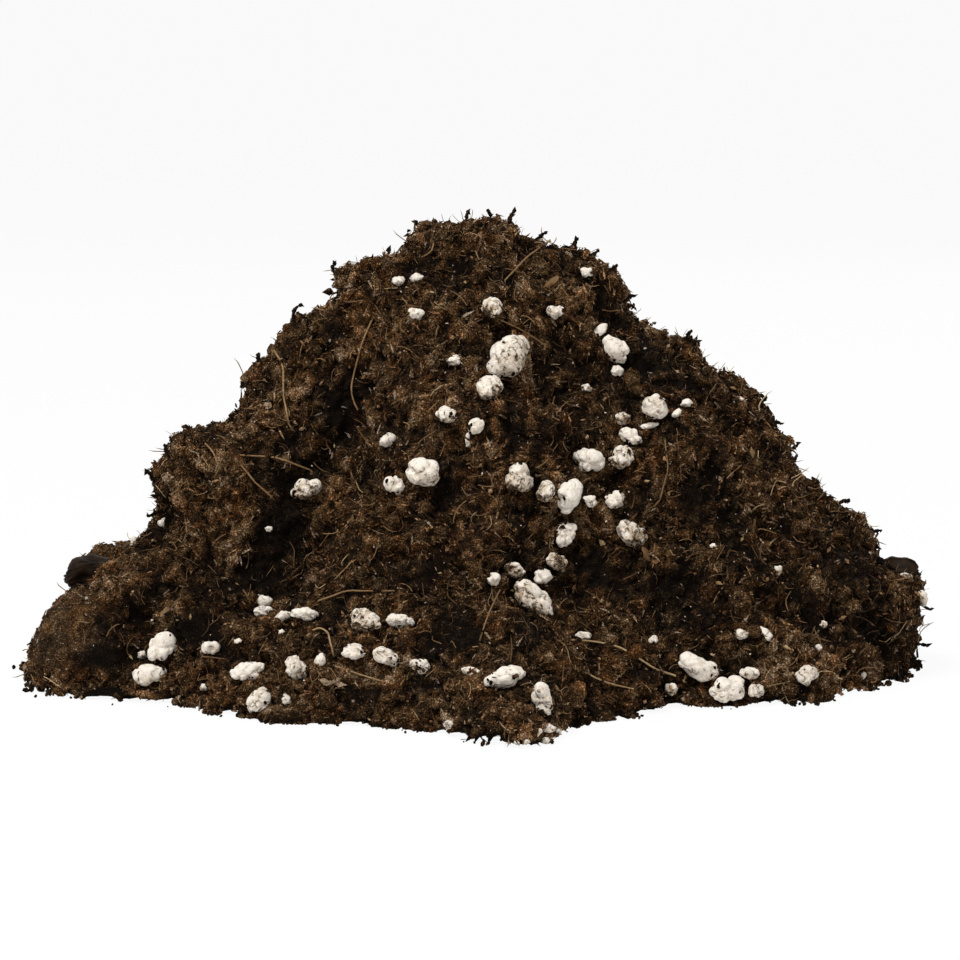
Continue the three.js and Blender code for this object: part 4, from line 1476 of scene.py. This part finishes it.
    def strand(self, path, radius):
        """A round strand along a path."""
        curve = bpy.data.curves.new("strand", "CURVE")
        curve.dimensions = "3D"
        curve.bevel_depth = radius
        curve.bevel_resolution = 1
        curve.resolution_u = 3
        curve.use_fill_caps = True
        spline = curve.splines.new("BEZIER")
        spline.bezier_points.add(len(path) - 1)
        for point, place in zip(spline.bezier_points, path):
            point.co = place
            point.handle_left_type = "AUTO"
            point.handle_right_type = "AUTO"
        holder = bpy.data.objects.new("strand", curve)
        mesh = bpy.data.meshes.new_from_object(holder)
        bpy.data.objects.remove(holder)
        bpy.data.curves.remove(curve)
        return mesh


def lumpy_granule(bm, rng, width, dirt, lobes=1.0):
    """Roughens a granule into a few lobes with pits in them, and returns each point's dirt, with painted
    shade in the creases between lobes and darker towards the underside.
    """
    offset = Vector(rng.uniform(0, 50, 3))
    dirty = Vector((rng.normal(), -0.6, rng.normal() - 0.5)).normalized()
    bm.normal_update()
    moves = []
    soiled_and_shaded = []
    for vert in bm.verts:
        here = vert.co
        lobe = noise.voronoi(here / (0.8 * width) + offset)[0]
        bubble = noise.voronoi(here / (0.9 * MM) + offset * 2)[0]
        crease = max(0.0, 0.24 - (lobe[1] - lobe[0]))
        lump = noise.noise(here / (0.34 * width) + offset * 4)
        fine = noise.noise(here / (0.4 * MM) + offset)
        local = dirt * (0.45 + 0.9 * max(0.0, vert.normal.dot(dirty)))
        crook = 0.8 * noise.noise_vector(here / (0.8 * MM) + offset * 5)
        pit = max(0.0, noise.noise(here / (0.75 * MM) + crook + offset * 3) + 0.34 * local - 0.44)
        out = width * lobes * (0.18 * (0.45 - lobe[0]) - 0.24 * crease + 0.05 * lump)
        knob = noise.voronoi(here / (0.38 * width) + offset * 6)[0]
        out += width * 0.085 * (0.42 - knob[0])
        out += (0.09 * (0.5 - bubble[0]) + 0.07 * fine - 0.9 * min(pit, 0.25)) * MM
        moves.append(vert.normal * out)
        # Soil in the pits; the creases between lobes darker as painted shade, even on clean granules; and
        # darker towards the underside.
        mark = 0.75 * local + 2.6 * pit * (0.1 + 1.3 * dirt)
        soiled_and_shaded.append(mark + 1.4 * crease * (0.3 + dirt) - 0.16 * vert.normal.z)
    for vert, move in zip(bm.verts, moves):
        vert.co += move
    return np.clip(soiled_and_shaded, 0, 1.3)


class MIX_OT_perlite(Operator):
    """Gives each perlite granule of the frame its bubbly form"""

    bl_idname = "mix.perlite"
    bl_label = "Perlite granules"

    def execute(self, context):
        perlite = context.scene.mix_perlite
        soil = SoilSurface().tree
        stuck = []
        collars = []
        for name in GRANULE_NODES:
            number = int(name.rsplit("_", 1)[1])
            rng = np.random.default_rng((PERLITE_SEED, number))
            bm = merged_copy(name)
            bmesh.ops.subdivide_edges(bm, edges=bm.edges, cuts=5, use_grid_fill=True)
            smooth(bm, 7)
            low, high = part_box(name)
            swell = FULL_GRANULES.get(number, GRANULE_SWELL)
            bmesh.ops.scale(bm, vec=(swell,) * 3, space=Matrix.Translation(-(low + high) / 2), verts=bm.verts)
            dirt = DIRTY_GRANULES.get(number, float(rng.uniform(0.15, 0.4)))
            lobes = 0.5 if number in FULL_GRANULES else 1.0
            shades = lumpy_granule(bm, rng, min(high - low), dirt, lobes)
            self.smear(bm, rng, shades, int(260 * max(0.0, dirt - 0.22) ** 2), stuck)
            self.collar(bm, rng, soil, int(9 * min(high - low) / MM), collars)
            mesh = mesh_from(bm, name.replace("granule", "popcorn"))
            write_shades(mesh, "shade", shades)
            mesh.shade_smooth()
            place_piece(mesh.name, mesh, perlite_material(perlite), (name,))
        rng = np.random.default_rng(PERLITE_SEED)
        seeds = [fine_seed(rng) for _ in range(6)]
        self.crumbs("stuck_soil", rng, seeds, stuck, 0.42, 0.14, 0.1)
        seeds = [chunk_seed(rng, 1, 0.5) for _ in range(6)]
        seeds += [fibre_seed(rng, 0.13, 2, 0.5) for _ in range(4)]
        self.crumbs("soil_collars", rng, seeds, collars, 0.38, 0.16, 0.05)
        return {"FINISHED"}

    def crumbs(self, name, rng, seeds, matrices, mean, spread, least):
        """Joins crumbs of soil in one piece, with shades round a mean."""
        which = rng.integers(0, len(seeds), len(matrices)).tolist()
        shades = np.clip(rng.normal(mean, spread, len(matrices)), least, 1)
        mesh = strewn_mesh(name, seeds, which, matrices, shades)
        place_piece(name, mesh, soil_material(bpy.context.scene.mix_soil))
        drop_seeds(seeds)

    def collar(self, bm, rng, soil, count, collars):
        """Heaps crumbs of soil against a granule where it comes out of the soil."""
        bm.normal_update()
        rim = []
        for vert in bm.verts:
            place, normal, _, _ = soil.find_nearest(vert.co)
            if 0 < (vert.co - place).dot(normal) < 1.1 * MM:
                rim.append(vert)
        for index in rng.integers(0, max(1, len(rim)), count if rim else 0):
            size = float(np.clip(0.8 * np.exp(rng.normal(0, 0.3)), 0.4, 1.4)) * MM
            spot = rim[index].co + rim[index].normal * 0.1 * size
            spot.z = max(spot.z, 0.4 * size)
            turn = lying_anyhow(rim[index].normal, rng, 0.4)
            collars.append(placed(spot, turn, size))

    def smear(self, bm, rng, shades, count, stuck):
        """Sticks fine crumbs of soil into the pits of a granule."""
        bm.normal_update()
        bm.verts.ensure_lookup_table()
        share = (shades + 0.05) ** 3
        for index in rng.choice(len(shades), count, p=share / share.sum()):
            vert = bm.verts[int(index)]
            size = float(np.clip(0.28 * np.exp(rng.normal(0, 0.4)), 0.15, 0.7)) * MM
            turn = lying_anyhow(vert.normal, rng, 0.4)
            stuck.append(placed(vert.co, turn, size))


class MIX_OT_perlite_bits(Operator):
    """Strews the small granules and the white specks"""

    bl_idname = "mix.perlite_bits"
    bl_label = "Small perlite"

    def execute(self, context):
        perlite = context.scene.mix_perlite
        surface = SoilSurface()
        rng = np.random.default_rng(BITS_SEED)
        self.small(surface, rng, perlite, FrontView(context.scene.mix_stage))
        self.specks(surface, rng, perlite)
        return {"FINISHED"}

    def small(self, surface, rng, perlite, view):
        """Lays the small granules of the front view and some behind."""
        bm = bmesh.new()
        shades = []
        for across, up, length, width, roll, dirt in SMALL_GRANULES:
            place, _ = view.spot(surface, across, up)
            spot = place + (view.eye - place).normalized() * 0.22 * width * MM
            facing = Matrix((view.right, view.up, view.back)).transposed()
            turn = facing @ Matrix.Rotation(math.radians(roll), 3, "Z")
            shades.append(self.granule(bm, rng, spot, turn, length, width, dirt))

        def unseen(middles):
            return np.clip((middles[:, 1] - 24 * MM) / (20 * MM), 0, 1)

        places, normals, _ = surface.strew(rng, perlite.loose_count, unseen)
        for place, normal in zip(places, normals):
            length = float(np.clip(2.6 * np.exp(rng.normal(0, 0.3)), 1.4, 4.6))
            spot = Vector(place) + Vector(normal) * 0.25 * length * MM
            turn = lying(normal, rng.uniform(0, math.tau), 0, 0)
            shades.append(self.granule(bm, rng, spot, turn, length, 0.75 * length, rng.uniform(0.1, 0.6)))
        mesh = mesh_from(bm, "perlite_small")
        write_shades(mesh, "shade", np.concatenate(shades))
        mesh.shade_smooth()
        place_piece("perlite_small", mesh, perlite_material(perlite))

    def granule(self, bm, rng, spot, turn, length, width, dirt):
        """Adds one small granule, and returns its points' dirt."""
        one = bmesh.new()
        bmesh.ops.create_icosphere(one, subdivisions=3, radius=0.5)
        offset = Vector(rng.uniform(0, 50, 3))
        for vert in one.verts:
            vert.co *= 0.92 + 0.34 * noise.noise(vert.co * 2.2 + offset)
        size = Matrix.Diagonal((length * MM, width * MM, width * MM))
        spot.z = max(spot.z, 0.45 * width * MM)
        bmesh.ops.transform(one, matrix=Matrix.Translation(spot) @ (turn @ size).to_4x4(), verts=one.verts)
        shades = lumpy_granule(one, rng, width * MM, dirt)
        mesh = mesh_from(one, "granule")
        bm.from_mesh(mesh)
        bpy.data.meshes.remove(mesh)
        return shades

    def specks(self, surface, rng, perlite):
        """Strews tiny white grains."""
        seeds = [grain_seed(rng, 0.7, 0.6) for _ in range(6)]
        count = perlite.speck_count
        places, normals, _ = surface.strew(rng, count)
        sizes = np.clip(0.26 * np.exp(rng.normal(0, 0.5, count)), 0.14, 1.1) * MM
        which = rng.integers(0, len(seeds), count).tolist()
        matrices = []
        for i in range(count):
            normal = Vector(normals[i])
            spot = Vector(places[i]) + normal * (0.3 * sizes[i] + rng.uniform(0.1, 0.6) * MM)
            spot.z = max(spot.z, 0.4 * sizes[i])
            turn = lying_anyhow(normal, rng, 0.5)
            matrices.append(placed(spot, turn, sizes[i]))
        shades = np.clip(rng.beta(1.4, 2.0, count), 0, 1)
        mesh = strewn_mesh("perlite_specks", seeds, which, matrices, shades)
        place_piece("perlite_specks", mesh, perlite_material(perlite))
        drop_seeds(seeds)


class MIX_OT_bark(Operator):
    """Gives the bark chips their furrows and bent ends"""

    bl_idname = "mix.bark"
    bl_label = "Bark chips"

    def execute(self, context):
        bark = context.scene.mix_bark
        for name in CHIP_NODES:
            bm = merged_copy(name)
            bmesh.ops.subdivide_edges(bm, edges=bm.edges, cuts=4, use_grid_fill=True)
            bmesh.ops.triangulate(bm, faces=bm.faces)
            smooth(bm, 3)
            bm.normal_update()
            low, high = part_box(name)
            shades = self.furrow(bm, bark, low, high)
            mesh = mesh_from(bm, name.replace("chip", "flake"))
            write_shades(mesh, "shade", shades)
            mesh.shade_smooth()
            place_piece(mesh.name, mesh, bark_material(bark), (name,))
        return {"FINISHED"}

    def furrow(self, bm, bark, low, high):
        """Cuts furrows along a chip, bends its free end down, and returns each point's shade."""
        middle = (low + high) / 2
        free = math.copysign(1, middle.x)
        half = (high.x - low.x) / 2
        shades = []
        moves = []
        for vert in bm.verts:
            here = vert.co - middle
            long = Vector((here.x / (6 * MM), here.y / (1.1 * MM), here.z / (0.9 * MM)))
            ridge = 1 - 2 * abs(noise.noise(long))
            fine = noise.noise(long * 2.3 + Vector((3, 1, 8)))
            lumps = noise.noise(here / (2.2 * MM) + Vector((5, 2, 4)))
            move = vert.normal * bark.furrow * (ridge - 0.5 + 0.5 * fine + 0.9 * lumps)
            end = max(0.0, free * here.x / half - 0.35) / 0.65
            move.z -= (bark.hook + 0.3 * here.z) * end * end
            moves.append(move)
            shades.append(0.12 + 0.45 * ridge + 0.25 * fine + 0.2 * lumps)
        for vert, move in zip(bm.verts, moves):
            vert.co += move
        return np.clip(shades, 0, 1)


class MIX_OT_stage(Operator):
    """Sets the floor, the soft lamps, the white surroundings and the camera"""

    bl_idname = "mix.stage"
    bl_label = "Stage"

    def execute(self, context):
        stage = context.scene.mix_stage
        context.scene.view_settings.view_transform = "Standard"
        self.floor(context.scene)
        self.surroundings(context.scene, stage)
        self.lamp("key_lamp", Vector((-0.4, -0.6, 1.1)), 0.5, stage.key_power)
        self.lamp("fill_lamp", Vector((0.5, -1.1, 0.5)), 0.8, stage.fill_power)
        self.lamp("back_lamp", Vector((0.35, 1.0, 0.8)), 0.8, stage.back_power)
        self.camera(context.scene, stage)
        return {"FINISHED"}

    def floor(self, scene):
        """A wide white floor that keeps a soft shadow."""
        bm = bmesh.new()
        bmesh.ops.create_grid(bm, x_segments=2, y_segments=2, size=FLOOR_REACH)
        bmesh.ops.translate(bm, verts=bm.verts, vec=(0, 0, -FLOOR_DROP))
        floor = bpy.data.objects.new("floor", mesh_from(bm, "floor"))
        scene.collection.objects.link(floor)
        material, tree, shader = new_material("White floor")
        shader.inputs["Base Color"].default_value = (0.9, 0.9, 0.9, 1)
        shader.inputs["Roughness"].default_value = 0.9
        glow = node(tree, "ShaderNodeEmission", Strength=1.0)
        glow.inputs["Color"].default_value = (1, 1, 1, 1)
        share = maths(tree, "MULTIPLY", seen_rays(tree), 0.93)
        blend = tree.nodes.new("ShaderNodeMixShader")
        tree.links.new(share, blend.inputs["Fac"])
        tree.links.new(shader.outputs["BSDF"], blend.inputs[1])
        tree.links.new(glow.outputs["Emission"], blend.inputs[2])
        tree.links.new(blend.outputs["Shader"], tree.nodes["Material Output"].inputs["Surface"])
        floor.data.materials.append(material)

    def surroundings(self, scene, stage):
        """White all around, dimmer as light than it looks."""
        world = bpy.data.worlds.new("White room")
        world.use_nodes = True
        tree = world.node_tree
        shown = tree.nodes["Background"]
        shown.inputs["Color"].default_value = (1, 1, 1, 1)
        extra = maths(tree, "MULTIPLY", seen_rays(tree), 1 - stage.sky)
        tree.links.new(maths(tree, "ADD", extra, stage.sky), shown.inputs["Strength"])
        scene.world = world

    def lamp(self, name, place, size, power):
        """A round soft lamp that faces the heap."""
        light = bpy.data.lights.new(name, "AREA")
        light.shape = "DISK"
        light.size = size
        light.energy = power
        lamp = bpy.data.objects.new(name, light)
        lamp.location = place
        lamp.rotation_euler = (place - Vector((0, 0, LAMP_AIM))).to_track_quat("Z", "Y").to_euler()
        bpy.context.scene.collection.objects.link(lamp)

    def camera(self, scene, stage):
        """The camera of the front view."""
        view = FrontView(stage)
        lens = bpy.data.cameras.new("front_camera")
        lens.lens = stage.lens
        lens.sensor_width = 36
        camera = bpy.data.objects.new("front_camera", lens)
        camera.location = view.eye + view.right * EYE_RIGHT + view.up * EYE_UP
        camera.rotation_euler = view.back.to_track_quat("Z", "Y").to_euler()
        scene.collection.objects.link(camera)
        scene.camera = camera


class MIX_PT_panel(Panel):
    """Lists the steps that build the heap"""

    bl_idname = "MIX_PT_panel"
    bl_label = "Potting mix"
    bl_space_type = "VIEW_3D"
    bl_region_type = "UI"
    bl_category = "Potting mix"

    def draw(self, context):
        column = self.layout.column()
        for step in STEPS:
            column.operator(step.bl_idname)


STEPS = (
    MIX_OT_soil_mass,
    MIX_OT_soil_crumbs,
    MIX_OT_moss,
    MIX_OT_fibres,
    MIX_OT_perlite,
    MIX_OT_perlite_bits,
    MIX_OT_bark,
    MIX_OT_stage,
)
GROUPS = {
    "mix_soil": SoilSettings,
    "mix_fibres": FibreSettings,
    "mix_perlite": PerliteSettings,
    "mix_bark": BarkSettings,
    "mix_stage": StageSettings,
}


def register():
    for group in GROUPS.values():
        bpy.utils.register_class(group)
    for name, group in GROUPS.items():
        setattr(bpy.types.Scene, name, PointerProperty(type=group))
    for step in STEPS:
        bpy.utils.register_class(step)
    bpy.utils.register_class(MIX_PT_panel)


def unregister():
    bpy.utils.unregister_class(MIX_PT_panel)
    for step in reversed(STEPS):
        bpy.utils.unregister_class(step)
    for name, group in GROUPS.items():
        delattr(bpy.types.Scene, name)
        bpy.utils.unregister_class(group)


def main():
    register()
    bpy.ops.mix.soil_mass()
    bpy.ops.mix.soil_crumbs()
    bpy.ops.mix.moss()
    bpy.ops.mix.fibres()
    bpy.ops.mix.perlite()
    bpy.ops.mix.perlite_bits()
    bpy.ops.mix.bark()
    bpy.ops.mix.stage()


if __name__ == "__main__":
    main()
